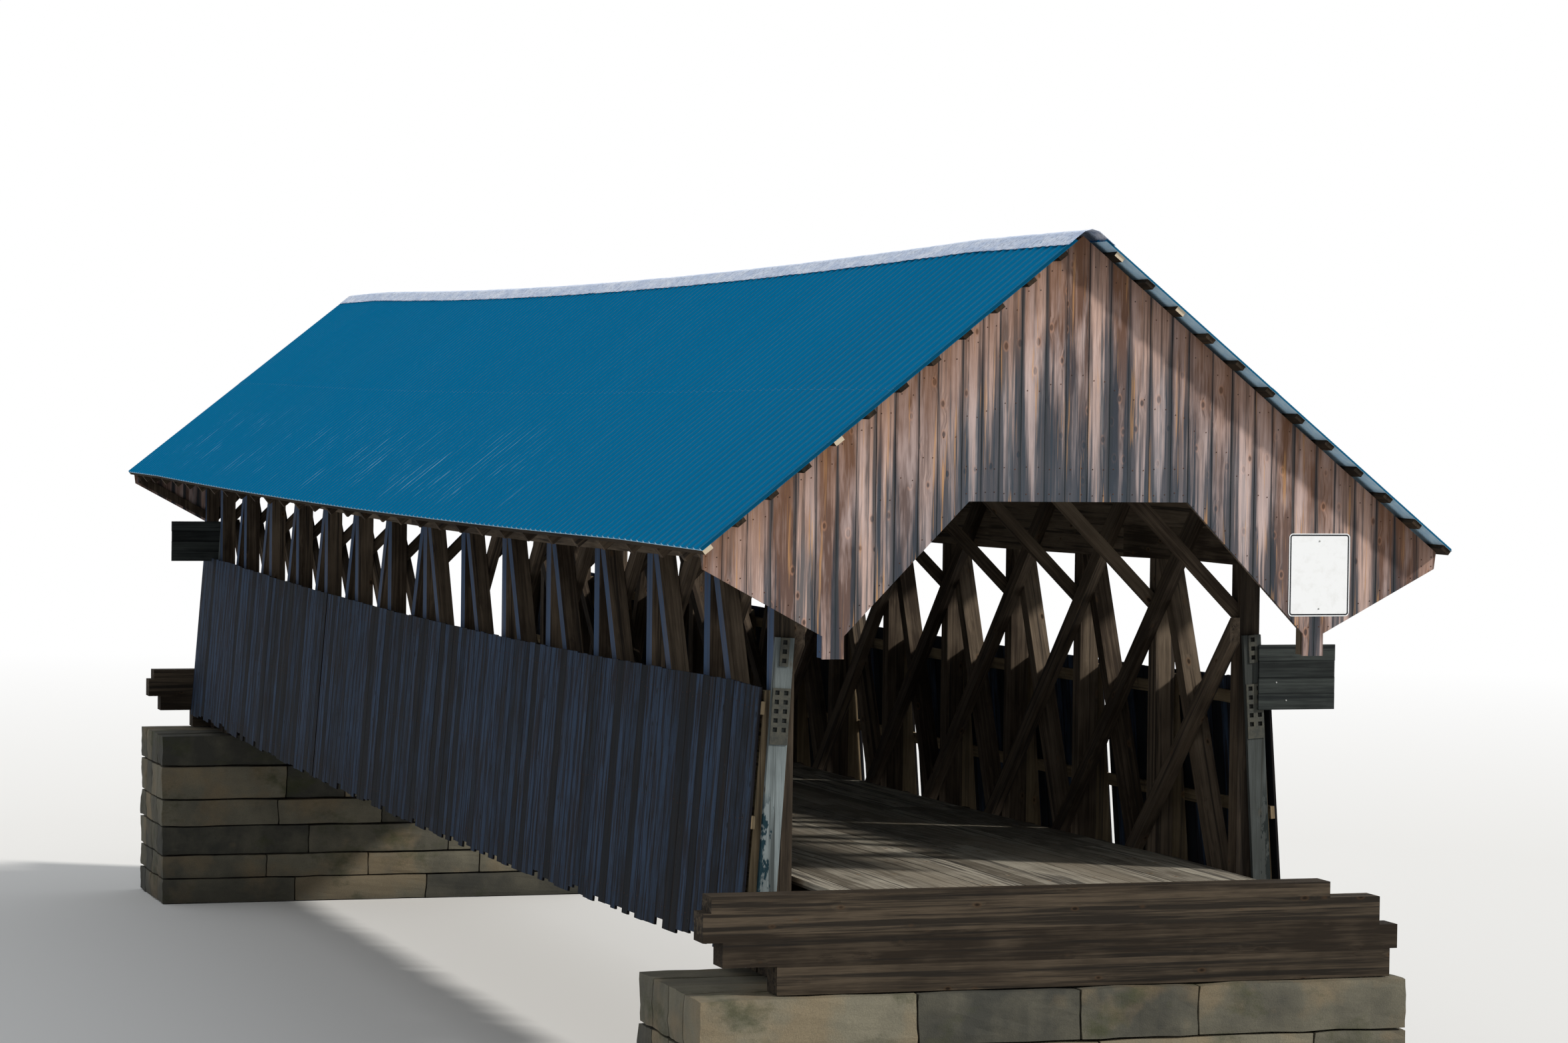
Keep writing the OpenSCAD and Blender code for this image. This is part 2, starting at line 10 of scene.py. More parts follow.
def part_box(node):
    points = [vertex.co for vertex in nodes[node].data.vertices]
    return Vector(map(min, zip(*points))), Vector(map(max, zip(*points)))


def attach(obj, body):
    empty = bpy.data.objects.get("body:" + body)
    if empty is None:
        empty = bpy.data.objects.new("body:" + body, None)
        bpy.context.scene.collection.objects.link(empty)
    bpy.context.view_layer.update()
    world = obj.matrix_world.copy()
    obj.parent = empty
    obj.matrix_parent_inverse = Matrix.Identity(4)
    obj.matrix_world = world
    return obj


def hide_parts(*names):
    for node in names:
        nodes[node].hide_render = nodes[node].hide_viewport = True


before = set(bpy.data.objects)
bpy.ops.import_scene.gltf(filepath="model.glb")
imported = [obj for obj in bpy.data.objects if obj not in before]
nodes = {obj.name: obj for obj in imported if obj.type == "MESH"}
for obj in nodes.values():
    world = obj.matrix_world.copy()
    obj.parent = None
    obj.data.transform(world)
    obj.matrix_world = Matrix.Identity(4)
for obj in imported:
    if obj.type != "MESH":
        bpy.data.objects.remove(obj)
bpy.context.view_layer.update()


# The stone abutments: split granite laid dry in six courses of uneven height, with tight
# rough joints. The courses' heights are those of the far abutment, which the near one
# repeats, and its face leans back a little.
ROAD = 3.5
COURSES = (0.384, 0.36, 0.444, 0.413, 0.515, 0.484)
STONE_ROWS = 4
STONE_LENGTH = (0.85, 2.3)
STONE_JOINT = 0.006
BED_JOINT = 0.004
FACE_SHIFT = (-0.012, 0.02)
TOP_UNEVEN = 0.012
ARRIS = 0.022
FACE_LEAN = math.tan(math.radians(3))


class Wire:
    """A socket of a node tree, which can stand in an expression."""

    def __init__(self, graph, node, socket):
        self.graph, self.node, self.socket = graph, node, socket

    def out(self, key):
        return Wire(self.graph, self.node, self.node.outputs[key])

    def _join(self, operation, left, right):
        pair = (left, right)
        wide = any(isinstance(p, Wire) and p.socket.type in ("VECTOR", "RGBA") for p in pair)
        if wide:
            pair = [p if isinstance(p, (Wire, tuple)) else (p, p, p) for p in pair]
        kind = "ShaderNodeVectorMath" if wide else "ShaderNodeMath"
        return self.graph.add(kind, {0: pair[0], 1: pair[1]}, operation=operation)

    def __add__(self, other):
        return self._join("ADD", self, other)

    def __radd__(self, other):
        return self._join("ADD", other, self)

    def __sub__(self, other):
        return self._join("SUBTRACT", self, other)

    def __rsub__(self, other):
        return self._join("SUBTRACT", other, self)

    def __mul__(self, other):
        return self._join("MULTIPLY", self, other)

    def __rmul__(self, other):
        return self._join("MULTIPLY", other, self)

    def __truediv__(self, other):
        return self._join("DIVIDE", self, other)

    def __abs__(self):
        return self.graph.maths("ABSOLUTE", self)

    def __gt__(self, other):
        return self.graph.maths("GREATER_THAN", self, other)

    def __lt__(self, other):
        return self.graph.maths("LESS_THAN", self, other)


class Graph:
    """A node tree, and the calls that add nodes to it."""

    def __init__(self, tree):
        self.tree = tree

    def add(self, kind, sockets=None, out=0, stops=None, **settings):
        node = self.tree.nodes.new(kind)
        for name, value in settings.items():
            setattr(node, name, value)
        if stops:
            ramp = node.color_ramp
            while len(ramp.elements) < len(stops):
                ramp.elements.new(0.5)
            for element, (place, colour) in zip(ramp.elements, stops):
                element.position, element.color = place, colour
        for key, value in (sockets or {}).items():
            if isinstance(value, Wire):
                self.tree.links.new(value.socket, node.inputs[key])
            else:
                node.inputs[key].default_value = value
        return Wire(self, node, node.outputs[out] if len(node.outputs) else None)

    def maths(self, operation, *values):
        return self.add("ShaderNodeMath", dict(enumerate(values)), operation=operation)

    def at(self, x, y, z):
        return self.add("ShaderNodeCombineXYZ", {0: x, 1: y, 2: z})

    def parts(self, vector):
        split = self.add("ShaderNodeSeparateXYZ", {0: vector})
        return split.out("X"), split.out("Y"), split.out("Z")

    def spot(self):
        """Where a point lies, in metres."""
        return self.add("ShaderNodeTexCoord", out="Object")

    def place(self):
        return self.parts(self.spot())

    def facing(self):
        """Which way the surface looks, as three wires."""
        return self.parts(self.add("ShaderNodeNewGeometry").out("Normal"))

    def grain(self, vector, scale=1.0, detail=2.0, roughness=0.5):
        return self.add("ShaderNodeTexNoise", {
            "Vector": vector, "Scale": scale, "Detail": detail, "Roughness": roughness})

    def band(self, value, low, high, to_low=0.0, to_high=1.0):
        """A value carried from one range to another, and held at its ends."""
        return self.add("ShaderNodeMapRange", {
            "Value": value, "From Min": low, "From Max": high, "To Min": to_low,
            "To Max": to_high})

    def mix(self, factor, first, second):
        return self.add("ShaderNodeMix", {0: factor, 6: first, 7: second}, out=2,
                        data_type="RGBA")

    def tone(self):
        """The number from 0 to 1 that each board or stone was given."""
        return self.add("ShaderNodeAttribute", out="Fac", attribute_name="tone")

    def from_edge(self, axis):
        """How far a point lies from its board's nearer edge, as a share of the width."""
        inside = self.add("ShaderNodeAttribute", out="Vector", attribute_name="inside")
        return 0.5 - abs(self.parts(inside)["XYZ".index(axis)])


def shade(red, green, blue):
    """A colour as it looks on a screen, from 0 to 255."""
    parts = [c / 255 for c in (red, green, blue)]
    return tuple(c / 12.92 if c < 0.04045 else ((c + 0.055) / 1.055) ** 2.4
                 for c in parts) + (1.0,)


def dimmed(colour, share):
    return tuple(c * share for c in colour[:3]) + (1.0,)


def new_finish(name):
    finish = bpy.data.materials.new(name)
    finish.use_nodes = True
    return finish, Graph(finish.node_tree)


def close_finish(finish, graph, colour, roughness, height=None, depth=0.002, metallic=0.0,
                 shine=0.3):
    """Joins a colour, a roughness and a bump height to the material's shader."""
    sockets = finish.node_tree.nodes["Principled BSDF"].inputs
    sockets["Specular IOR Level"].default_value = shine
    values = {"Base Color": colour, "Roughness": roughness, "Metallic": metallic}
    if height is not None:
        values["Normal"] = graph.add("ShaderNodeBump", {
            "Height": height, "Strength": 0.7, "Distance": depth})
    for key, value in values.items():
        if isinstance(value, Wire):
            graph.tree.links.new(value.socket, sockets[key])
        else:
            sockets[key].default_value = value
    return finish


def new_object(name, data):
    thing = bpy.data.objects.new(name, data)
    bpy.context.collection.objects.link(thing)
    return thing


def hand_over(piece, replaced=()):
    """Every piece rides on the bridge's one body."""
    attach(piece, "root")
    if replaced:
        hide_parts(*replaced)
    return piece


def make_piece(name, parts, finish, replaced=()):
    """One mesh from (corners, faces, tone) parts."""
    corners, faces, tones, inside, start = [], [], [], [], 0
    for points, sides, tone in parts:
        points = np.asarray(points, float)
        low, high = points.min(axis=0), points.max(axis=0)
        corners.append(points)
        inside.append((points - (low + high) / 2) / np.maximum(high - low, 1e-6))
        faces.extend([tuple(i + start for i in side) for side in sides])
        tones.extend([tone] * len(points))
        start += len(points)
    mesh = bpy.data.meshes.new(name)
    mesh.from_pydata(np.concatenate(corners).tolist(), [], faces)
    mesh.attributes.new("tone", "FLOAT", "POINT").data.foreach_set("value", tones)
    mesh.attributes.new("inside", "FLOAT_VECTOR", "POINT").data.foreach_set(
        "vector", np.concatenate(inside).ravel())
    mesh.materials.append(finish)
    mesh.update()
    return hand_over(new_object(name, mesh), replaced)


def stone_grid(cuts):
    """A cube of half size 1 with its faces cut up, as corners and faces."""
    solid = bmesh.new()
    bmesh.ops.create_cube(solid, size=2)
    if cuts:
        bmesh.ops.subdivide_edges(solid, edges=solid.edges[:], cuts=cuts, use_grid_fill=True)
    corners = np.array([v.co for v in solid.verts])
    faces = [tuple(v.index for v in f.verts) for f in solid.faces]
    solid.free()
    return corners, faces


def split_stone(grid, low, high, tone):
    """One stone between two corners, its arrises broken and its faces uneven."""
    corners, faces = grid
    half, middle = (high - low) / 2, (high + low) / 2
    points = corners * half
    inner = np.clip(points, -(half - ARRIS), half - ARRIS)
    out = points - inner
    reach = np.linalg.norm(out, axis=1, keepdims=True)
    points = inner + out * np.minimum(1, ARRIS / np.maximum(reach, 1e-9)) + middle
    for i, point in enumerate(points):
        where = Vector(point)
        bulge = noise.noise_vector(where * 2.3) * 0.026
        chipped = noise.noise_vector(where * 9) * 0.011
        points[i] = point + np.array(bulge + chipped) * (1.0, 1.0, 0.5)
    points[:, 2] = np.maximum(points[:, 2], 0)
    return points, faces, tone


def stone_finish():
    """Olive grey granite with green and tan stains and a dark, damp foot."""
    finish, g = new_finish("split_granite")
    x, y, z = g.place()
    tone = g.tone()
    cloud = g.grain(g.spot(), 1.7, 5, 0.6)
    grit = g.grain(g.spot(), 70, 3, 0.7)
    green = g.band(g.grain(g.at(x + 9, y, z * 1.6), 1.1, 6, 0.65), 0.54, 0.66)
    stain = g.band(g.grain(g.at(x, y + 31, z), 0.9, 4, 0.6) + (tone - 0.5) * 0.2, 0.5, 0.62)
    colour = g.mix(g.band(cloud * 0.7 + tone * 0.5, 0.35, 0.85), shade(58, 58, 52),
                   shade(124, 119, 102))
    colour = g.mix(stain * 0.45, colour, shade(138, 118, 88))
    colour = g.mix(green * 0.7, colour, shade(58, 62, 36))
    colour = g.mix(g.band(z, 0.0, 0.7, 0.55, 0.0), colour, shade(38, 38, 34))
    colour = g.mix(g.band(grit, 0.25, 0.75, 0.35, 0.0), colour, shade(40, 40, 38))
    return close_finish(finish, g, colour, g.band(cloud, 0.3, 0.7, 0.82, 0.96),
                        grit * 0.5 + cloud, 0.012)


def laid_along(rng, start, end, lengths, shortest):
    """Places and lengths of pieces laid end to end, the last of them not too short."""
    while start < end - 1e-6:
        length = rng.uniform(*lengths)
        if end - start - length < shortest:
            length = end - start
        yield start, length
        start += length


rng = random.Random(11)
noise.seed_set(11)
fine_stone, plain_stone = stone_grid(5), stone_grid(0)
granite = stone_finish()
for end, side in (("near", -1), ("far", 1)):
    low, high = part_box("abutment_" + end)
    face_y = min(abs(low.y), abs(high.y))
    back_y = max(abs(low.y), abs(high.y))
    stones, foot = [], 0.0
    for course, tall in enumerate(COURSES):
        top_course = course == len(COURSES) - 1
        front = face_y + (foot + tall / 2) * FACE_LEAN
        depths = np.linspace(front, back_y, STONE_ROWS + 1)
        for row in range(STONE_ROWS):
            for x, length in laid_along(rng, low.x, high.x, STONE_LENGTH, STONE_LENGTH[0]):
                y0 = depths[row] + (rng.uniform(*FACE_SHIFT) if row == 0 else 0)
                y1 = depths[row + 1]
                seen = (row in (0, STONE_ROWS - 1) or x == low.x or x + length > high.x - 0.01
                        or top_course)
                a = np.array([x + STONE_JOINT / 2, y0 + STONE_JOINT / 2, foot + BED_JOINT])
                b = np.array([x + length - STONE_JOINT / 2, y1 - STONE_JOINT / 2,
                              foot + tall - BED_JOINT - rng.uniform(0, TOP_UNEVEN)])
                ends = [a[1] * side, b[1] * side]
                a[1], b[1] = min(ends), max(ends)
                stones.append(split_stone(fine_stone if seen else plain_stone, a, b,
                                          rng.random()))
        foot += tall
    make_piece("abutment_stones_" + end, stones, granite, ["abutment_" + end])


# The squared timbers: rough sawn spruce that has darkened in the shelter of the roof. The
# bed timbers, chords, posts, plates, braces and ties keep the solids of the frame, and each
# gets its grain along its own run.
PANEL = 2.035
HALF_TRUSS = 7 * PANEL
SAG = 0.13
SAG_REACH = 6.5
TIERS = (2.0, 3.2252, 3.6)  # heights over the road that part one long timber from the next
BRACE_RISE = math.pi - math.atan2(3.179, 1.43)
BRACE_FOOT = (1.6175, 3.22)
COUNTER_RISE = math.atan2(1.938, PANEL)
COUNTER_CROSSING = (PANEL, ROAD + 2.2)


def wood_finish(name, run, tone, shades, streaked=0.5, knots=0.5, contrast=1.0,
                mottled=0.22, seams=None, extra=None):
    """Sawn wood. run names the axes along, across and through the grain, or gives their
    wires. shades are those of light and dark wood and of weathered, wet streaks. mottled is
    how much the timbers differ, and seams the axis across boards with stained edges."""
    finish, g = new_finish(name)
    light, dark, streak = [shade(*s) for s in shades]
    place = dict(zip("xyz", g.place()))
    along, across, through = [place[a] for a in run] if isinstance(run, str) else run(g)
    tone = tone(g)
    shift = tone * 61
    cells = g.add("ShaderNodeTexVoronoi", {
        "Vector": g.at(along * 3.1 + shift, across * 5.6, through * 5.6), "Scale": 1.0},
        voronoi_dimensions="2D" if seams else "3D")
    pick = g.add("ShaderNodeSeparateColor", {0: cells.out("Color")})
    kept = g.maths("GREATER_THAN", pick, 1 - knots)
    from_knot = cells.out("Distance")
    bent = across + g.band(from_knot, 0.05, 0.36, 0.03, 0.0) * kept
    broad = g.grain(g.at(along * 0.7 + shift, bent * 12, through * 12), 1, 3, 0.55)
    lines = g.grain(g.at(along * 1.3 + shift, bent * 42, through * 42), 1, 3, 0.6)
    fibre = g.grain(g.at(along * 7 + shift, across * 260, through * 260), 1, 2, 0.6)
    patch = g.grain(g.at(along * 2.1 + shift, across * 3, through * 3), 1, 3, 0.5)
    wet = g.grain(g.at(along * 0.35 + shift, across * 17 + 5, through * 17), 1, 4, 0.65)
    value = broad * 0.3 + lines * 0.42 + patch * 0.28 + (tone - 0.5) * mottled
    spread = 0.13 / contrast
    colour = g.mix(g.band(value, 0.5 - spread, 0.5 + spread), dark, light)
    colour = g.mix(g.band(wet + (tone - 0.5) * 0.12, 0.62 - 0.16 * streaked,
                          0.67 - 0.08 * streaked) * 0.85, colour, streak)
    from_knot = from_knot + (patch - 0.5) * 0.14
    ring = g.band(from_knot, 0.11, 0.17, 1.0, 0.0) * kept
    heart = g.band(from_knot, 0.06, 0.11, 1.0, 0.0) * kept
    colour = g.mix(ring * 0.4, colour, (light[0], light[1] * 0.72, light[2] * 0.5, 1.0))
    colour = g.mix(heart * 0.85, colour, dimmed(dark, 0.3))
    colour = g.mix(g.band(fibre, 0.3, 0.7, 0.35, 0.0), colour, dimmed(dark, 0.5))
    if extra:
        colour = extra(g, colour)
    if seams:
        edge = g.from_edge(seams)
        stain = g.band(edge + (wet - 0.5) * 0.9, -0.02, 0.1, 0.8, 0.0)
        colour = g.mix(stain, colour, dimmed(streak, 0.5))
        colour = g.mix(g.band(edge + (patch - 0.5) * 0.08, 0.002, 0.022, 0.6, 0.0), colour,
                       dimmed(streak, 0.3))
    return close_finish(finish, g, colour, g.band(broad, 0.3, 0.7, 0.8, 0.95),
                        lines * 0.6 + fibre * 0.5 - heart * 0.8, 0.004, shine=0.08)


def grain_slanted(rise):
    """Grain that climbs towards or away from midspan, the same way in both halves."""
    def run(g):
        x, y, z = g.place()
        away = abs(y)
        return (away * math.cos(rise) + z * math.sin(rise),
                away * math.sin(rise) - z * math.cos(rise), x)
    return run


def grain_knee(g):
    """Grain of the knee braces, which climb at 45 degrees towards the road's middle."""
    x, y, z = g.place()
    half = math.sqrt(0.5)
    return (z - abs(x)) * half, (z + abs(x)) * half, y


def draw_tone(g, *where):
    return g.add("ShaderNodeTexWhiteNoise", {"Vector": g.at(*where)}, noise_dimensions="3D")


def tone_per(pick, step, start=0.0, sided=True):
    """One tone for each timber, from where it lies. Timbers of one side of the road have
    tones of their own, where sided is true."""
    def tone(g):
        x, y, z = g.place()
        cell = g.maths("ROUND", ({"x": x, "y": y, "z": z}[pick] - start) / step)
        return draw_tone(g, cell, g.maths("SIGN", x) if sided else 0.0, 0.5)
    return tone


def tone_per_slant(rise, start):
    """One tone for each brace. They lie a panel apart, and start is a point of one."""
    def tone(g):
        x, y, z = g.place()
        away = abs(y) - start[0]
        apart = away * math.sin(rise) - (z - start[1]) * math.cos(rise)
        cell = g.maths("ROUND", apart / (PANEL * math.sin(rise)))
        return draw_tone(g, cell, g.maths("SIGN", x), g.maths("SIGN", y))
    return tone


def tone_per_length(length):
    """One tone for each length of the chords and plates, which lie one over the other."""
    def tone(g):
        x, y, z = g.place()
        share = y / (SAG_REACH * PANEL)
        height = z + g.maths("MAXIMUM", 1 - share * share, 0.0) * SAG - ROAD
        tier = (height > TIERS[0]) + (height > TIERS[1]) + (height > TIERS[2])
        return draw_tone(g, g.maths("ROUND", y / length + tier * 0.37), g.maths("SIGN", x),
                         tier)
    return tone


def weathered_and_painted_light_outside(g, colour):
    """The faces that look out over the side walls have weathered grey, tinted blue as painted
    skylight, and those of the end posts behind the jambs are darkened as painted shade."""
    x, y, z = g.place()
    across, along, _ = g.facing()
    outward = across * g.maths("SIGN", x)
    worn = g.grain(g.at(x * 12, y * 12, z * 0.8), 1, 4, 0.6)
    # Outward faces: weathered grey, with a blue tint painted in as skylight.
    colour = g.mix(g.band(outward, 0.4, 0.8) * g.band(worn, 0.3, 0.6, 0.45, 0.85), colour,
                   shade(62, 86, 118))
    # Painted shade on the end posts' faces behind the jambs, mottled by the same noise.
    portal_painted_shade = (g.band(along * g.maths("SIGN", y), 0.4, 0.8)
              * g.band(abs(y), HALF_TRUSS - 0.245, HALF_TRUSS - 0.045))
    return g.mix(portal_painted_shade * g.band(worn, 0.3, 0.6, 0.9, 0.6), colour, shade(27, 24, 21))


def set_finish(finish, *stems):
    """Gives nodes their finish, both of those that come as a pair of sides or ends."""
    for name, node in nodes.items():
        if name in stems or name.rpartition("_")[0] in stems:
            node.data.materials.clear()
            node.data.materials.append(finish)


SAWN = ((122, 108, 92), (58, 49, 41), (46, 42, 40))
set_finish(wood_finish("bed_timber", "xyz", tone_per("z", 0.3, sided=False),
                       ((84, 74, 62), (42, 36, 30), (30, 28, 26)), streaked=0.8),
           "bed_timbers", "end_wall")
set_finish(wood_finish("long_timber", "yxz", tone_per_length(6.1), SAWN, streaked=0.3),
           "lower_chord", "upper_chord", "wall_plate")
set_finish(wood_finish("post_timber", "zyx", tone_per("y", PANEL), SAWN, streaked=0.3,
                       extra=weathered_and_painted_light_outside), "posts", "gable_frame")
set_finish(wood_finish("brace_timber", grain_slanted(BRACE_RISE),
                       tone_per_slant(BRACE_RISE, BRACE_FOOT), SAWN, streaked=0.3,
                       extra=weathered_and_painted_light_outside), "braces")
set_finish(wood_finish("counterbrace_timber", grain_slanted(COUNTER_RISE),
                       tone_per_slant(COUNTER_RISE, COUNTER_CROSSING),
                       ((110, 97, 83), (54, 46, 39), (44, 41, 40)), streaked=0.4),
           "counterbraces")
set_finish(wood_finish("tie_timber", "xyz", tone_per("y", PANEL, sided=False), SAWN,
                       streaked=0.3), "tie_beams")
set_finish(wood_finish("floor_timber", "xyz", tone_per("y", PANEL / 2, 0.26, sided=False),
                       SAWN, streaked=0.3), "floor_beams")
set_finish(wood_finish("knee_timber", grain_knee, tone_per("y", PANEL), SAWN, streaked=0.2),
           "knee_braces")


# The deck: rough planks laid along the road on the floor beams, butted end to end with the
# joints staggered. Use has worn two paler tracks in them.
DECK_HALF = 2.1
DECK_END = HALF_TRUSS + 0.89
PLANK = (0.21, 0.0747)  # width and thickness
PLANK_GAP = 0.006
PLANK_LENGTHS = (3.2, 4.9)
PLANK_SHORTEST = 1.5
PLANK_DOWN = 0.004
TRACK_X = 0.85


def drop(y):
    """How far the sagging line lies below its ends; it is straight from bend to bend."""
    place = y / PANEL + 0.5
    first = math.floor(place)
    levels = [SAG * max(0.0, 1 - ((k - 0.5) / SAG_REACH) ** 2) for k in (first, first + 1)]
    return levels[0] + (levels[1] - levels[0]) * (place - first)


def new_tree(name, inputs):
    """A geometry tree that takes points, the named inputs and a finish."""
    tree = bpy.data.node_groups.new(name, "GeometryNodeTree")
    for title, kind in {"Points": "Geometry", **inputs, "Finish": "Material"}.items():
        tree.interface.new_socket(title, in_out="INPUT", socket_type="NodeSocket" + kind)
    tree.interface.new_socket("Made", in_out="OUTPUT", socket_type="NodeSocketGeometry")
    g = Graph(tree)
    return g, g.add("NodeGroupInput")


def point_vector(g, name):
    return g.add("GeometryNodeInputNamedAttribute", {"Name": name}, data_type="FLOAT_VECTOR")


def set_on_points(g, given, shape, **more):
    """A shape on each point, turned as its point says."""
    laid = g.add("GeometryNodeInstanceOnPoints", {
        "Points": given.out("Points"), "Instance": shape,
        "Rotation": g.add("FunctionNodeEulerToRotation", {0: point_vector(g, "turn")}), **more})
    return g.add("GeometryNodeRealizeInstances", {"Geometry": laid})


def end_tree(g, given, shape):
    done = g.add("GeometryNodeSetMaterial", {
        "Geometry": shape, "Material": given.out("Finish")})
    g.add("NodeGroupOutput", {0: done})
    return g.tree


def boards_tree():
    """Boards on points: each point carries its board's size, turn and tone, and every
    corner is lowered with the sagging line."""
    g, given = new_tree("boards_on_points", {"Cuts": "Int", "Sag": "Float", "Panel": "Float"})
    block = g.add("GeometryNodeMeshCube", {"Vertices Y": given.out("Cuts")})
    block = g.add("GeometryNodeStoreNamedAttribute", {
        "Geometry": block, "Name": "inside", "Value": g.add("GeometryNodeInputPosition")},
        data_type="FLOAT_VECTOR", domain="POINT")
    whole = set_on_points(g, given, block, Scale=point_vector(g, "size"))
    y = g.parts(g.add("GeometryNodeInputPosition"))[1]
    place = y / given.out("Panel") + 0.5
    first = g.maths("FLOOR", place)

    def level(k):
        reach = (k - 0.5) / SAG_REACH
        return given.out("Sag") * g.maths("MAXIMUM", 1 - reach * reach, 0.0)

    low = level(first) + (level(first + 1) - level(first)) * (place - first)
    return end_tree(g, given, g.add("GeometryNodeSetPosition", {
        "Geometry": whole, "Offset": g.at(0.0, 0.0, 0 - low)}))


def run_tree(name, tree, points, fields, values):
    """Puts a tree on a mesh of points, sets its inputs and makes the result a plain mesh."""
    mesh = bpy.data.meshes.new(name)
    mesh.from_pydata([tuple(p) for p in points], [], [])
    for field, rows in fields.items():
        rows = np.asarray(rows, float)
        kind, key = ("FLOAT_VECTOR", "vector") if rows.ndim == 2 else ("FLOAT", "value")
        mesh.attributes.new(field, kind, "POINT").data.foreach_set(key, rows.ravel())
    piece = new_object(name, mesh)
    layer = piece.modifiers.new("tree", "NODES")
    layer.node_group = tree
    for item in tree.interface.items_tree:
        if item.in_out == "INPUT" and item.name in values:
            layer[item.identifier] = values[item.name]
    graph = bpy.context.evaluated_depsgraph_get()
    plain = bpy.data.meshes.new_from_object(piece.evaluated_get(graph))
    piece.modifiers.clear()
    piece.data = plain
    return piece


BOARDS = boards_tree()


def lay_boards(name, boards, finish, replaced=(), cuts=2):
    """boards holds (middle, size, turn, tone) for each board, before the line sags."""
    places, sizes, turns, tones = zip(*boards)
    hand_over(run_tree(name, BOARDS, places, {"size": sizes, "turn": turns, "tone": tones},
                       {"Cuts": cuts, "Sag": SAG, "Panel": PANEL, "Finish": finish}),
              replaced)


def worn_tracks(g, colour):
    x, y, z = g.place()
    from_track = abs(abs(x) - TRACK_X)
    worn = g.band(from_track + g.grain(g.at(x * 3, y * 0.4, z), 1, 3) * 0.3, 0.2, 0.6, 0.5, 0.0)
    return g.mix(worn, colour, shade(140, 130, 114))


rng = random.Random(5)
planks, x = [], -DECK_HALF
while x < DECK_HALF - 0.01:
    for y, length in laid_along(rng, -DECK_END, DECK_END, PLANK_LENGTHS, PLANK_SHORTEST):
        planks.append(((x + PLANK[0] / 2, y + length / 2,
                        ROAD - PLANK[1] / 2 - rng.uniform(0.0, PLANK_DOWN)),
                       (PLANK[0] - PLANK_GAP, length - PLANK_GAP, PLANK[1] - PLANK_DOWN),
                       (0, 0, 0), rng.random()))
    x += PLANK[0]
deck_wood = wood_finish("deck_plank", "yxz", Graph.tone,
                        ((180, 173, 158), (102, 95, 84), (64, 61, 58)), streaked=0.4,
                        extra=worn_tracks)
lay_boards("deck_planks", planks, deck_wood, ["deck"], cuts=9)


# The side walls: rough boards nailed upright to three rails on wedge studs, so that the wall
# leans out at its foot. They have shrunk and weathered to grey, tinted blue as painted
# skylight; their feet are uneven, and daylight shows through a few wide gaps.
WALL_TOP = ROAD + 1.79
WALL_X = 2.485
WALL_LEAN = math.radians(4.3)
WALL_ENDS = (-HALF_TRUSS - 0.095, HALF_TRUSS + 0.88)
WALL_LENGTH = 2.51 / math.cos(WALL_LEAN)
BOARD = 0.025
RAIL = 0.04
SEAT = 0.0003
SIDE_WIDTHS = (0.17, 0.27)
SEAMS = (0.002, 0.003, 0.004, 0.006)
SHORT_TOP, SHORT_FOOT = 0.012, 0.09
WIDE_GAPS = {-1: {5.3: 0.05, -1.6: 0.014, 9.1: 0.012},  # place along each side and width
             1: {-10.3: 0.12, -4.2: 0.14, -2.1: 0.125, -0.08: 0.018, 6.4: 0.02}}
RAILS_DOWN = (0.2, 1.255, 2.31)
NAIL_HEAD = (0.006, 0.0025)  # radius and height


def wall_point(side, out, down, y):
    """A place on a leaning wall: out from the studs' faces, down from the boards' tops."""
    return (side * (WALL_X + out * math.cos(WALL_LEAN) + down * math.sin(WALL_LEAN)), y,
            WALL_TOP + out * math.sin(WALL_LEAN) - down * math.cos(WALL_LEAN))


def heads_tree():
    """Heads of nails, screws and bolts on points."""
    g, given = new_tree("heads_on_points", {"Sides": "Int", "Radius": "Float",
                                            "Height": "Float", "Top share": "Float"})
    head = g.add("GeometryNodeMeshCone", {
        "Vertices": given.out("Sides"), "Radius Bottom": given.out("Radius"),
        "Radius Top": given.out("Radius") * given.out("Top share"),
        "Depth": given.out("Height")})
    return end_tree(g, given, set_on_points(g, given, head))


HEADS = heads_tree()


def set_heads(name, heads, finish, slot, radius, height, sides=8, top=0.6):
    """heads holds (place, turn) for each head."""
    places, turns = zip(*heads)
    hand_over(run_tree(name, HEADS, places, {"turn": turns}, {
        "Sides": sides, "Radius": radius, "Height": height, "Top share": top,
        "Finish": finish}))


def spotted_metal(name, spots, spread, shades, roughness, depth, metallic=0.0):
    """Metal that wear or rust has mottled from one shade to the other."""
    finish, g = new_finish(name)
    spots = g.grain(g.spot(), *spots)
    if isinstance(roughness, tuple):
        roughness = g.band(spots, 0.3, 0.7, *roughness)
    return close_finish(finish, g, g.mix(g.band(spots, *spread), *shades), roughness, spots,
                        depth, metallic)


def foot_damp(g, colour):
    """The boards' feet are darker, where they are wet longest."""
    x, y, z = g.place()
    wet = g.band(z + g.grain(g.at(x, y * 9, z), 1, 3) * 0.9, 3.0, 3.8, 0.4, 0.0)
    return g.mix(wet, colour, shade(30, 32, 36))


def grain_frame(g):
    """Grain along the rails, and upright on the studs' broad faces."""
    x, y, z = g.place()
    stud = abs(g.facing()[1]) > 0.5
    return y + (z - y) * stud, z + (x - z) * stud, x + (y - x) * stud
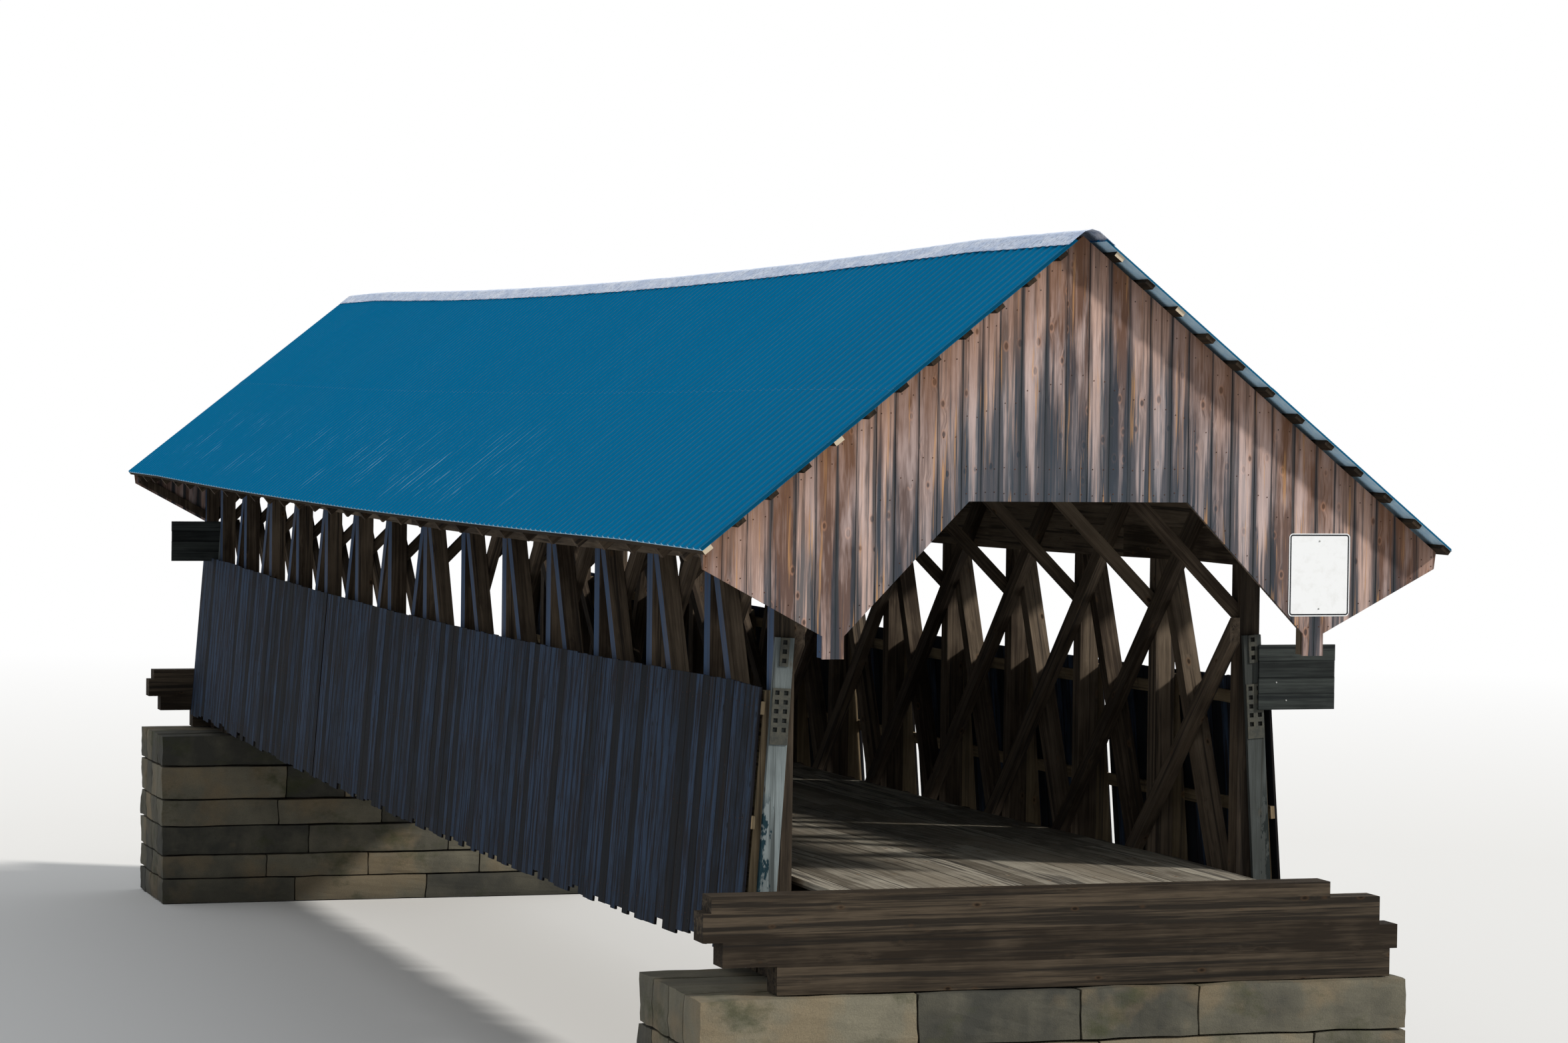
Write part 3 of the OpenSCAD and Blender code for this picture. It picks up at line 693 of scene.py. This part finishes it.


# Weathered grey boards, their colour tinted blue as painted skylight in shade.
slate_wood_painted_sky = wood_finish("weathered_side_board", "zyx", Graph.tone,
                         ((57, 74, 98), (30, 34, 40), (37, 31, 28)), streaked=0.8,
                         knots=0.1, contrast=1.1, mottled=0.55, seams="Y", extra=foot_damp)
rusted = spotted_metal("rusted_iron", (60, 3, 0.6), (0.4, 0.6),
                       (shade(46, 40, 38), shade(92, 58, 40)), 0.8, 0.001, 0.3)
rng = random.Random(23)
for name, side in (("left", -1), ("right", 1)):
    boards, nails, y = [], [], WALL_ENDS[0]
    while y < WALL_ENDS[1] - 0.001:
        width = rng.uniform(*SIDE_WIDTHS)
        if WALL_ENDS[1] - y - width < SIDE_WIDTHS[0]:
            width = WALL_ENDS[1] - y
        gap = rng.choice(SEAMS)
        for place, wide in WIDE_GAPS[side].items():
            if y <= place < y + width:
                gap, width = wide, max(width, wide + 0.12)
        short_top = rng.uniform(0, SHORT_TOP)
        length = WALL_LENGTH - short_top - rng.uniform(0, 1) ** 3 * SHORT_FOOT
        down = short_top + length / 2
        out = RAIL + SEAT + BOARD / 2 - rng.uniform(0, 0.001)
        middle = wall_point(side, out, down, y + (width - gap) / 2)
        boards.append((middle, (BOARD - 0.002, width - gap, length),
                       (rng.uniform(-0.0015, 0.0015), -side * WALL_LEAN, 0), rng.random()))
        for rail in RAILS_DOWN:
            for share in (0.22, 0.78):
                at = wall_point(side, RAIL + BOARD + 0.0005, rail + rng.uniform(-0.03, 0.03),
                                y + (width - gap) * share + rng.uniform(-0.01, 0.01))
                nails.append(((at[0], at[1], at[2] - drop(at[1])),
                              (0, side * (math.pi / 2 - WALL_LEAN), 0)))
        y += width
    lay_boards("siding_boards_" + name, boards, slate_wood_painted_sky, ["siding_" + name])
    set_heads("siding_nails_" + name, nails, rusted, "side_board", *NAIL_HEAD)
# Rails and studs are coloured lighter than their wood: painted light, so they look sunlit where
# they lie in shade.
set_finish(wood_finish("wall_rail", grain_frame, tone_per("y", 4.2),
                       ((172, 154, 124), (112, 97, 76), (82, 74, 64))), "side_frame")


# The roof's frame: rafter pairs over the posts and between them, and thin purlins across
# them that run out past the gables. A few purlin ends are pale.
PITCH = math.radians(38.7)
RISE = ROAD + 3.87 + 0.14 / math.cos(PITCH) + (2.425 - 0.074) * math.tan(PITCH)
ROOF_END = 15.99
PURLINS_APART = 0.2958


def slope_point(side, down, up, y):
    """A place on a slope: down from the ridge line and up from the rafters' backs."""
    up = up - drop(y) * math.cos(PITCH)
    return (side * (down * math.cos(PITCH) + up * math.sin(PITCH)), y,
            RISE - down * math.sin(PITCH) + up * math.cos(PITCH))


def grain_down(g):
    """Grain that follows the rafters."""
    x, y, z = g.place()
    return (abs(x) * math.cos(PITCH) - z * math.sin(PITCH), y,
            abs(x) * math.sin(PITCH) + z * math.cos(PITCH))


def pale_ends(g, colour):
    x, y, z = g.place()
    row = g.maths("ROUND", abs(x) / PURLINS_APART)
    draw = draw_tone(g, row, g.maths("SIGN", x), 2.5)
    return g.mix((abs(y) > ROOF_END - 0.014) * (draw > 0.72) * 0.9, colour,
                 shade(206, 190, 166))


set_finish(wood_finish("rafter_timber", grain_down, tone_per("y", 1.0),
                       ((104, 90, 75), (54, 45, 38), (44, 41, 40))), "rafters")
set_finish(wood_finish("purlin_timber", "yxz", tone_per("x", 0.3),
                       ((66, 56, 45), (34, 29, 24), (30, 27, 24)), streaked=0.3,
                       extra=pale_ends), "purlins")


# The roof: ribbed steel sheets in two courses, painted teal blue, screwed to the purlins
# beside the ribs. The paint is scratched low down on the left slope, and the backs of the
# sheets are bare galvanised metal, coloured paler as painted light thrown up from below.
RIB_PITCH = 0.2032
RIB_COUNT = 157
SHEET_UP = 0.0453
SHEET = 0.006
RIB = (0.048, 0.02, 0.019)  # width at the foot and at the top, height
LAP = (0.07, 0.012, 0.0006, 0.0016)  # reach up and down the slope, gap, thickness
SCREW = (0.0065, 0.009, 6, 0.85)  # radius, height, sides, share of the radius at the top
SLOPE = (3.612 - (SHEET_UP + SHEET) * math.sin(PITCH)) / math.cos(PITCH)
LAP_DOWN = 2.31
PURLIN_FIRST, PURLIN_COUNT, PURLIN_WIDE = 0.33, 12, 0.095
PURLIN_STEP = (SLOPE - PURLIN_FIRST - PURLIN_WIDE / 2) / (PURLIN_COUNT - 1)


def roof_finish():
    finish, g = new_finish("teal_sheet")
    x, y, z = g.place()
    down = abs(x) * math.cos(PITCH) - (z - RISE) * math.sin(PITCH)
    sheet = g.maths("FLOOR", y / (RIB_PITCH * 4))
    draw = draw_tone(g, sheet, g.maths("SIGN", x), down > LAP_DOWN)
    fade = g.grain(g.at(down * 0.5, y * 0.4, 3.0), 1, 4, 0.6)
    wash = g.grain(g.at(down * 0.7, y * 14, 8.0), 1, 3, 0.6)
    grime = g.grain(g.spot(), 26, 4, 0.7)
    colour = g.mix(g.band(fade * 0.5 + wash * 0.3 + draw * 0.2, 0.3, 0.7),
                   shade(0, 109, 153), shade(0, 118, 164))
    colour = g.mix(g.band(grime, 0.35, 0.75, 0.0, 0.12), colour, shade(26, 88, 114))
    streaks = g.grain(g.at(down * 1.1 + y * 0.3, y * 24, 1.0), 1, 4, 0.7)
    where = g.grain(g.at(down * 0.9, y * 0.8, 5.0), 1, 2, 0.5)
    area = (g.band(down, 2.7, 3.3) * g.band(down, 4.1, 4.4, 1.0, 0.0) * g.band(y, -9.0, -5.0)
            * g.band(where, 0.44, 0.56) * (x < 0.0))
    scratch = g.band(streaks, 0.57, 0.63) * area
    colour = g.mix(scratch * 0.9, colour, shade(176, 212, 232))
    # Painted light on the ribs' flanks, lifting the shade that falls on them; painted shade on
    # the flanks at the sheets' cut ends.
    _, along, upward = g.facing()
    rib_flank_painted_light = g.band(abs(along), 0.2, 0.7)
    colour = g.mix(rib_flank_painted_light, colour, shade(0, 135, 188))
    cut_end_painted_shade = g.band(abs(y), ROOF_END - 0.036, ROOF_END - 0.03)
    colour = g.mix(cut_end_painted_shade * rib_flank_painted_light, colour, shade(0, 76, 108))
    under = upward < -0.2
    # Bare galvanised metal under the sheets, coloured paler as painted light thrown up from
    # below.
    spangle = g.grain(g.spot(), 14, 3, 0.6)
    bare_metal_and_painted_bounce = g.mix(g.band(spangle, 0.35, 0.65), shade(178, 218, 246), shade(202, 234, 253))
    colour = g.mix(under, colour, bare_metal_and_painted_bounce)
    return close_finish(finish, g, colour, g.band(fade, 0.3, 0.7, 0.6, 0.72),
                        grime + wash * 2, 0.0006, under * 0.2, 0.04)


def ribbed_strip(side, down0, down1, lift, thick):
    """A strip of sheet across the slope that follows the ribs, above the sheets."""
    line = [(-ROOF_END, 0.0)]
    for k in range(RIB_COUNT + 1):
        y = (k - RIB_COUNT / 2) * RIB_PITCH
        for reach, tall in ((-RIB[0], 0), (-RIB[1], RIB[2]), (RIB[1], RIB[2]), (RIB[0], 0)):
            if abs(y + reach / 2) < ROOF_END:
                line.append((y + reach / 2, tall))
    line.append((ROOF_END, 0.0))
    points, count = [], len(line)
    for up in (lift, lift + thick):
        for down in (down0, down1):
            points += [slope_point(side, down, SHEET_UP + SHEET + tall + up, y)
                       for y, tall in line]
    faces = []
    for i in range(count - 1):
        a, b, c, d = i, i + count, i + 2 * count, i + 3 * count
        faces += [(a, a + 1, b + 1, b), (c, d, d + 1, c + 1), (a, c, c + 1, a + 1),
                  (b, b + 1, d + 1, d)]
    faces += [(0, count, 3 * count, 2 * count),
              (count - 1, 3 * count - 1, 4 * count - 1, 2 * count - 1)]
    if side < 0:
        faces = [tuple(reversed(f)) for f in faces]
    return points, faces, 0.5


teal = roof_finish()
set_finish(teal, "roof")
for name, side in (("left", -1), ("right", 1)):
    make_piece("roof_lap_" + name, [ribbed_strip(side, LAP_DOWN - LAP[0], LAP_DOWN + LAP[1],
                                                 *LAP[2:])], teal)
    screws = []
    for row in range(PURLIN_COUNT):
        down = PURLIN_FIRST + row * PURLIN_STEP
        for k in range(RIB_COUNT):
            y = (k - RIB_COUNT / 2) * RIB_PITCH + 0.042
            screws.append((slope_point(side, down, SHEET_UP + SHEET + SCREW[1] / 2, y),
                           (0, side * PITCH, 0)))
    set_heads("roof_screws_" + name, screws, teal, "roof_sheet", *SCREW)


# The ridge cap: lengths of pale sheet steel folded over the ridge and lapped. It is dented
# all along, and its edges dip between the ribs that it rests on.
CAP_LEG = 0.23
CAP_UP = SHEET_UP + SHEET + RIB[2] + 0.0008
CAP_STEP = 0.045
CAP_LENGTH = 3.05
CAP_LAP = (0.12, 0.0014)  # length and rise
CAP_THICK = 0.0016
CAP_DIP = 0.006


def ridge_finish():
    finish, g = new_finish("pale_ridge")
    x, y, z = g.place()
    cloud = g.grain(g.at(x * 3, y, z * 3), 2.6, 5, 0.65)
    grime = g.grain(g.spot(), 24, 4, 0.7)
    colour = g.mix(g.band(cloud, 0.35, 0.65), shade(176, 196, 228), shade(232, 240, 254))
    colour = g.mix(g.band(grime, 0.48, 0.62, 0.0, 0.6), colour, shade(104, 124, 158))
    return close_finish(finish, g, colour, g.band(cloud, 0.3, 0.7, 0.42, 0.6), grime, 0.001,
                        0.25)


def ridge_cap():
    legs = np.linspace(-1, 1, 15)
    rows = int(2 * (ROOF_END - 0.001) / CAP_STEP)
    points = []
    for i in range(rows + 1):
        y = -ROOF_END + 0.001 + (2 * ROOF_END - 0.002) * i / rows
        lap = CAP_LAP[1] if (y + ROOF_END) % CAP_LENGTH < CAP_LAP[0] else 0.0
        for leg in legs:
            share = abs(leg)
            side = 1 if leg >= 0 else -1
            apex = drop(y) * math.sin(PITCH)
            dent = noise.noise(Vector((y * 2.6, leg * 1.7, 0.5))) * 0.006
            dent += noise.noise(Vector((y * 9, leg * 5, 4.5))) * 0.004
            dip = (0.5 - 0.5 * math.cos(2 * math.pi * (y / RIB_PITCH + 0.5))) * CAP_DIP
            up = CAP_UP + lap + share * (0.004 + dent) - share ** 2 * dip * 0.8
            if share < 0.05:
                up = CAP_UP + lap - 0.001 + min(0.0, dent)
            down = apex + share * CAP_LEG * (1 + 0.012 * noise.noise(Vector((y * 1.3, 9, 1))))
            here = slope_point(side, down, up, y)
            points.append((0.0 if share < 1e-6 else here[0], y, here[2]))
    wide = len(legs)
    faces = [(i * wide + k, i * wide + k + 1, (i + 1) * wide + k + 1, (i + 1) * wide + k)
             for i in range(rows) for k in range(wide - 1)]
    return points, faces, 0.5


cap = make_piece("ridge_cap_sheet", [ridge_cap()], ridge_finish(),
                 ["ridge_cap"])
for polygon in cap.data.polygons:
    polygon.use_smooth = True
shell = cap.modifiers.new("sheet", "SOLIDIFY")
shell.thickness, shell.offset = CAP_THICK, -1


# The gables: upright rough boards, each cut to the roof's slope and to the opening with its
# ears, and nailed to the boards behind. The near one is sunlit brown with blue grey streaks
# that run up from the cut ends.
GABLE_Y = 15.77
GABLE_X = 3.56
CORNER = 0.152
OPEN = (1.06, ROAD + 3.536)  # half width and height of the opening's level head
EAR = (2.224, 2.426, ROAD + 2.13, ROAD + 2.335)  # inner and outer edge, foot and shoulder
GABLE_WIDTHS = (0.165, 0.235)
GABLE_SEAMS = (0.002, 0.003, 0.005)
NAILS_IN = (0.13, 0.07)  # from a board's top and foot
BACK = RISE - SEAT


def gable_top(x):
    return BACK - abs(x) * math.tan(PITCH)


def gable_foot(x):
    """The foot of the boards, except under the ears."""
    x = abs(x)
    corner = (GABLE_X - 0.02, gable_top(GABLE_X) - CORNER)
    if x <= OPEN[0]:
        return OPEN[1]
    if x <= EAR[0]:
        return OPEN[1] + (x - OPEN[0]) / (EAR[0] - OPEN[0]) * (EAR[3] - OPEN[1])
    if x <= EAR[1]:
        return EAR[2]
    if x <= corner[0]:
        return EAR[3] + (x - EAR[1]) / (corner[0] - EAR[1]) * (corner[1] - EAR[3])
    return corner[1] + (x - corner[0]) / (GABLE_X - corner[0]) * CORNER


def upright_slab(ring, y0, y1):
    """Corners and faces of a slab whose outline is a ring of (x, z)."""
    count = len(ring)
    points = [(x, y, z) for y in (y0, y1) for x, z in ring]
    faces = [tuple(range(count)), tuple(range(2 * count - 1, count - 1, -1))]
    faces += [(i, i + count, (i + 1) % count + count, (i + 1) % count)
              for i in range(count)]
    return points, faces


def gable_board(x0, x1, y0, y1):
    """One board between two seams, cut at its top and foot."""
    breaks = [0.0, OPEN[0], EAR[0], EAR[1], GABLE_X - 0.02]
    tiny = 1e-5
    xs = sorted({x0, x1, *[s * b for s in (-1, 1) for b in breaks if x0 < s * b < x1]})
    tops = [(x, gable_top(x)) for x in xs]
    feet = []
    for x in xs:
        before, after = gable_foot(x - tiny), gable_foot(x + tiny)
        if x > x0:
            feet.append((x, before))
        if x < x1 and (x == x0 or abs(after - before) > 0.01):
            feet.append((x, after))
    ring = feet + tops[::-1]
    ring = [p for i, p in enumerate(ring) if math.dist(p, ring[i - 1]) > 1e-4]
    return upright_slab(ring, y0, y1)


def gable_streaks(g, colour):
    """Blue grey weather streaks that climb from the cut ends over the opening, on wood
    bleached pale in patches and browner under the roof's edge."""
    x, y, z = g.place()
    out = abs(x)
    over_foot = z - g.band(out, OPEN[0], EAR[0], OPEN[1], EAR[3])
    bleached = (g.grain(g.at(x * 7, y, z * 0.9 + 11), 1, 4, 0.6)
                + g.band(abs(out - 1.9), 0.2, 0.9, 0.05, 0.0))
    colour = g.mix(g.band(bleached, 0.5, 0.66, 0.0, 0.5), colour, shade(222, 200, 196))
    climb = g.grain(g.at(x * 26, y * 3, z * 0.45), 1, 4, 0.65)
    seam = g.grain(g.at(x * 6.5, y * 3, z * 0.3 + 3), 1, 2, 0.5)
    stained = (climb * 0.85 + seam * 0.65 + g.band(out, 1.0, 2.2, 0.05, -0.08)
               + g.band(over_foot, 0.0, 1.8, 0.18, -0.12) - g.from_edge("X") * 0.45)
    grey = g.band(over_foot, 0.0, 1.6, 0.55, 0.0) * g.band(out, 1.1, 2.3, 1.0, 0.15)
    colour = g.mix(grey, colour, shade(106, 115, 125))
    colour = g.mix(g.band(stained, 0.67, 0.79, 0.0, 0.8), colour, shade(42, 55, 66))
    resin = g.grain(g.at(x * 24, y * 3, z * 0.7 + 7), 1, 3, 0.6)
    colour = g.mix(g.band(resin, 0.61, 0.68) * 0.55, colour, shade(206, 156, 104))
    under_rake = (BACK - out * math.tan(PITCH)) - z
    ragged = g.grain(g.at(x * 9, y, z * 0.8), 1, 3, 0.6)
    eaves = g.band(under_rake + ragged * 0.6, 0.2, 1.1, 0.7, 0.0)
    return g.mix(eaves, colour, shade(120, 84, 60))


brown_wood = wood_finish("gable_board", "zxy", Graph.tone,
                         ((206, 176, 164), (104, 80, 70), (74, 82, 88)), knots=0.42,
                         contrast=1.2, mottled=0.35, seams="X", extra=gable_streaks)
for end, side in (("near", -1), ("far", 1)):
    rng = random.Random(41 + side)
    boards, nails = [], []
    for x, width in laid_along(rng, -GABLE_X, GABLE_X, GABLE_WIDTHS, GABLE_WIDTHS[0]):
        gap = rng.choice(GABLE_SEAMS)
        outer = side * (GABLE_Y - rng.uniform(0, 0.002))
        inner = side * (GABLE_Y - BOARD)
        points, faces = gable_board(x + gap / 2, x + width - gap / 2, min(outer, inner),
                                    max(outer, inner))
        boards.append((points, faces, rng.random()))
        middle = x + width / 2
        rows = [gable_top(middle) - NAILS_IN[0], gable_foot(middle) + NAILS_IN[1]]
        if abs(middle) < OPEN[0]:
            rows.append(OPEN[1] + 0.3)
        if abs(middle) < EAR[0] - 0.2:
            rows.append((rows[0] + rows[1]) / 2)
        for z in rows:
            for share in (0.25, 0.75):
                nails.append(((x + width * share, side * (GABLE_Y + SEAT),
                               z + rng.uniform(-0.015, 0.015)), (side * -math.pi / 2, 0, 0)))
    make_piece("gable_boards_" + end, boards, brown_wood, ["gable_" + end])
    set_heads("gable_nails_" + end, nails, rusted, "gable_board", *NAIL_HEAD)


# The portals' jambs: one broad board nailed against each end post, grey green, with teal
# paint left on its outer edge low down. Dull plates with square holes are fixed on them.
JAMB_X = 2.376
JAMB_LEAN = math.tan(math.radians(3.5))
PLATES_UP = ((1.27, 1.3, 1.755, 1.775), (1.98, 1.99))  # where the dark fades in and out


def jamb_paint(g, colour):
    """Teal flakes low down; painted shade on the right jamb, up the jambs and in the plates'
    holes.
    """
    x, y, z = g.place()
    over_road = z - ROAD
    across = abs(x) + over_road * JAMB_LEAN - JAMB_X
    ragged = g.grain(g.at(x * 6, y, z * 2), 3.0, 5, 0.7)
    area = g.band(across + (ragged - 0.5) * 0.5 - over_road * 0.06, 0.118, 0.135)
    colour = g.mix(area * g.band(over_road, 0.62, 0.85, 0.95, 0.0), colour, shade(12, 42, 52))
    # Painted shade on the right jamb.
    colour = g.mix((x > 0.0) * 0.7, colour, shade(44, 43, 38))
    # Painted shade that grows up the jambs.
    colour = g.mix(g.band(over_road, 0.9, 1.5, 0.0, 0.4), colour, shade(44, 45, 42))
    # Painted shade on the wood seen through the plates' holes.
    off = abs(across - 0.09)
    lower, upper = PLATES_UP
    hole_painted_shade = (g.band(over_road, *lower[:2]) * g.band(over_road, *lower[2:], 1.0, 0.0)
              * g.band(off, 0.075, 0.083, 1.0, 0.0)
              + g.band(over_road, *upper) * g.band(off, 0.034, 0.04, 1.0, 0.0))
    return g.mix(hole_painted_shade * 0.9, colour, shade(18, 18, 17))


set_finish(wood_finish("jamb_board", "zyx", tone_per("x", 1.0),
                       ((134, 144, 146), (90, 98, 99), (62, 66, 65)), streaked=0.3,
                       knots=0.2, extra=jamb_paint), "jambs")
set_finish(spotted_metal("marker_plate", (16, 5, 0.7), (0.4, 0.62),
                         (shade(48, 50, 46), shade(72, 71, 62)), (0.55, 0.8), 0.0015),
           "marker_plates")


# The blank board panels beside the portals: four dark weathered boards, darkened further as
# painted shade, laid level and bolted to the jamb. The pale heads of two bolts show.
PANEL_BOARDS = 4
BOLTS_AT = ((0.23, 0.42), (0.36, 0.143))
BOLT_HEAD = (0.009, 0.005)
# Dark weathered boards, darkened further as painted shade.
dark_wood_painted_shade = wood_finish("panel_board", "xyz", Graph.tone,
                        ((68, 73, 71), (36, 39, 39), (30, 33, 35)), knots=0.2, seams="Z")
zinc = spotted_metal("zinc_bolt", (90, 3, 0.6), (0.35, 0.65),
                     (shade(150, 152, 150), shade(196, 198, 196)), 0.5, 0.0005, 0.5)
for end, side in (("near", -1), ("far", 1)):
    low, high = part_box("board_panel_" + end)
    wide, deep, tall = high - low
    middle = (low + high) / 2
    rng = random.Random(3)
    boards = []
    for k in range(PANEL_BOARDS):
        z = low.z + tall / PANEL_BOARDS * (k + 0.5) + drop(high.y)
        boards.append(((middle.x, middle.y, z),
                       (wide - rng.uniform(0, 0.012), deep, tall / PANEL_BOARDS - 0.0006),
                       (0, 0, 0), rng.random()))
    front = low.y if side < 0 else high.y
    bolts = [((low.x + wide * across, front + side * 0.001, low.z + tall * up),
              (-side * math.pi / 2, 0, 0)) for across, up in BOLTS_AT]
    lay_boards("panel_boards_" + end, boards, dark_wood_painted_shade,
               ["board_panel_" + end])
    set_heads("panel_bolts_" + end, bolts, zinc, "panel_board", *BOLT_HEAD)


# The bare plate on the near gable: sheet metal with rounded corners, painted white with a
# thin dark border and nothing on it, held by a bolt at its head and one at its foot.
PLATE_RADIUS = 0.038
BORDER = 0.014
BORDER_IN = 0.012
BOLT_IN = 0.07


def rounded_plate(low, high):
    radius, ring = PLATE_RADIUS, []
    left, right = low.x + radius, high.x - radius
    foot, head = low.z + radius, high.z - radius
    corners = ((right, foot, -90), (right, head, 0), (left, head, 90), (left, foot, 180))
    for cx, cz, start in corners:
        for step in range(7):
            angle = math.radians(start + step * 15)
            ring.append((cx + radius * math.cos(angle), cz + radius * math.sin(angle)))
    return *upright_slab(ring, low.y, high.y), 0.5


def border_finish(low, high):
    finish, g = new_finish("bare_plate")
    x, y, z = g.place()
    middle = (low + high) / 2
    dx = abs(x - middle.x) - ((high.x - low.x) / 2 - PLATE_RADIUS)
    dz = abs(z - middle.z) - ((high.z - low.z) / 2 - PLATE_RADIUS)
    reach = g.maths("SQRT", g.maths("POWER", g.maths("MAXIMUM", dx, 0.0), 2.0) +
                    g.maths("POWER", g.maths("MAXIMUM", dz, 0.0), 2.0))
    inside = g.maths("MINIMUM", g.maths("MAXIMUM", dx, dz), 0.0)
    edge = abs(reach + inside - (PLATE_RADIUS - BORDER_IN) + 0.004)
    line = edge < BORDER / 2
    dirt = g.grain(g.spot(), 9, 5, 0.7)
    colour = g.mix(g.band(dirt, 0.5, 0.75, 0.0, 0.3), shade(236, 238, 240),
                   shade(196, 196, 190))
    colour = g.mix(line, colour, shade(24, 28, 34))
    return close_finish(finish, g, colour, 0.42)


low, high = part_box("sign_plate")
make_piece("sign_sheet", [rounded_plate(low, high)], border_finish(low, high),
           ["sign_plate"])
set_heads("sign_bolts", [(((low.x + high.x) / 2, low.y - 0.001, z), (math.pi / 2, 0, 0))
                         for z in (low.z + BOLT_IN, high.z - BOLT_IN)],
          zinc, "bare_plate", *BOLT_HEAD)


# The stage: a pale floor that fades into a white surround, soft light all round and a low
# lamp from the right, and the camera where the photograph was taken from.
FLOOR_REACH = 900
FADE = (26.0, 75.0)
FILL_LIGHT = 0.6
KEY_LIGHT = 3.2
KEY_FROM = Vector((0.728, -0.459, 0.509))
WHITE = (1.0, 1.0, 1.0, 1.0)
LENS = 96.99
YAW, DIP, ROLL = 0.3093, 0.0301, 0.0128
CAMERA_AT = (-14.135, -51.252, 7.973)


def floor_finish():
    """Pale to the eye, and greyer in the light that it throws back on the bridge."""
    finish, g = new_finish("pale_floor")
    x, y, z = g.place()
    seen = g.add("ShaderNodeLightPath").out("Is Camera Ray")
    colour = g.mix(seen, shade(205, 205, 204), shade(228, 228, 227))
    close_finish(finish, g, colour, 0.9, shine=0.0)
    far = g.band(g.maths("SQRT", x * x + y * y), *FADE)
    plain = finish.node_tree.nodes["Principled BSDF"].outputs[0]
    white = g.add("ShaderNodeEmission", {"Color": WHITE, "Strength": 1.0})
    both = g.add("ShaderNodeMixShader", {0: far * seen, 1: Wire(g, None, plain), 2: white})
    g.tree.links.new(both.socket, finish.node_tree.nodes["Material Output"].inputs[0])
    return finish


mesh = bpy.data.meshes.new("floor")
mesh.from_pydata([(x * FLOOR_REACH, y * FLOOR_REACH, -0.002)
                  for x, y in ((-1, -1), (1, -1), (1, 1), (-1, 1))], [], [(0, 1, 2, 3)])
mesh.materials.append(floor_finish())
new_object("floor", mesh)

world = bpy.data.worlds.new("surround")
bpy.context.scene.world = world
world.use_nodes = True
around = Graph(world.node_tree)
world.node_tree.nodes.clear()
path = around.add("ShaderNodeLightPath")
seen = around.maths("MAXIMUM", path.out("Is Camera Ray"),
                 around.maths("MAXIMUM", path.out("Is Glossy Ray"),
                           path.out("Is Transmission Ray")))
back = around.add("ShaderNodeBackground", {"Color": WHITE, "Strength": 1.0})
fill = around.add("ShaderNodeBackground", {"Color": (0.96, 0.98, 1.0, 1.0),
                                        "Strength": FILL_LIGHT})
both = around.add("ShaderNodeMixShader", {0: seen, 1: fill, 2: back})
around.add("ShaderNodeOutputWorld", {0: both})

lamp = bpy.data.lights.new("key", "SUN")
lamp.energy, lamp.angle, lamp.color = KEY_LIGHT, math.radians(4), (1.0, 0.96, 0.9)
new_object("key", lamp).rotation_euler = KEY_FROM.to_track_quat("Z", "Y").to_euler()

view = bpy.data.cameras.new("camera")
view.lens, view.sensor_width, view.clip_end = LENS, 36.0, 4000
camera = new_object("camera", view)
ahead = Vector((math.sin(YAW) * math.cos(DIP), math.cos(YAW) * math.cos(DIP),
                -math.sin(DIP)))
level = Vector((math.cos(YAW), -math.sin(YAW), 0))
over = level.cross(ahead)
right = level * math.cos(ROLL) + over * math.sin(ROLL)
top = over * math.cos(ROLL) - level * math.sin(ROLL)
camera.rotation_mode = "QUATERNION"
camera.rotation_quaternion = Matrix((right, top, -ahead)).transposed().to_quaternion()
camera.location = CAMERA_AT
bpy.context.scene.camera = camera
bpy.context.scene.view_settings.view_transform = "Standard"
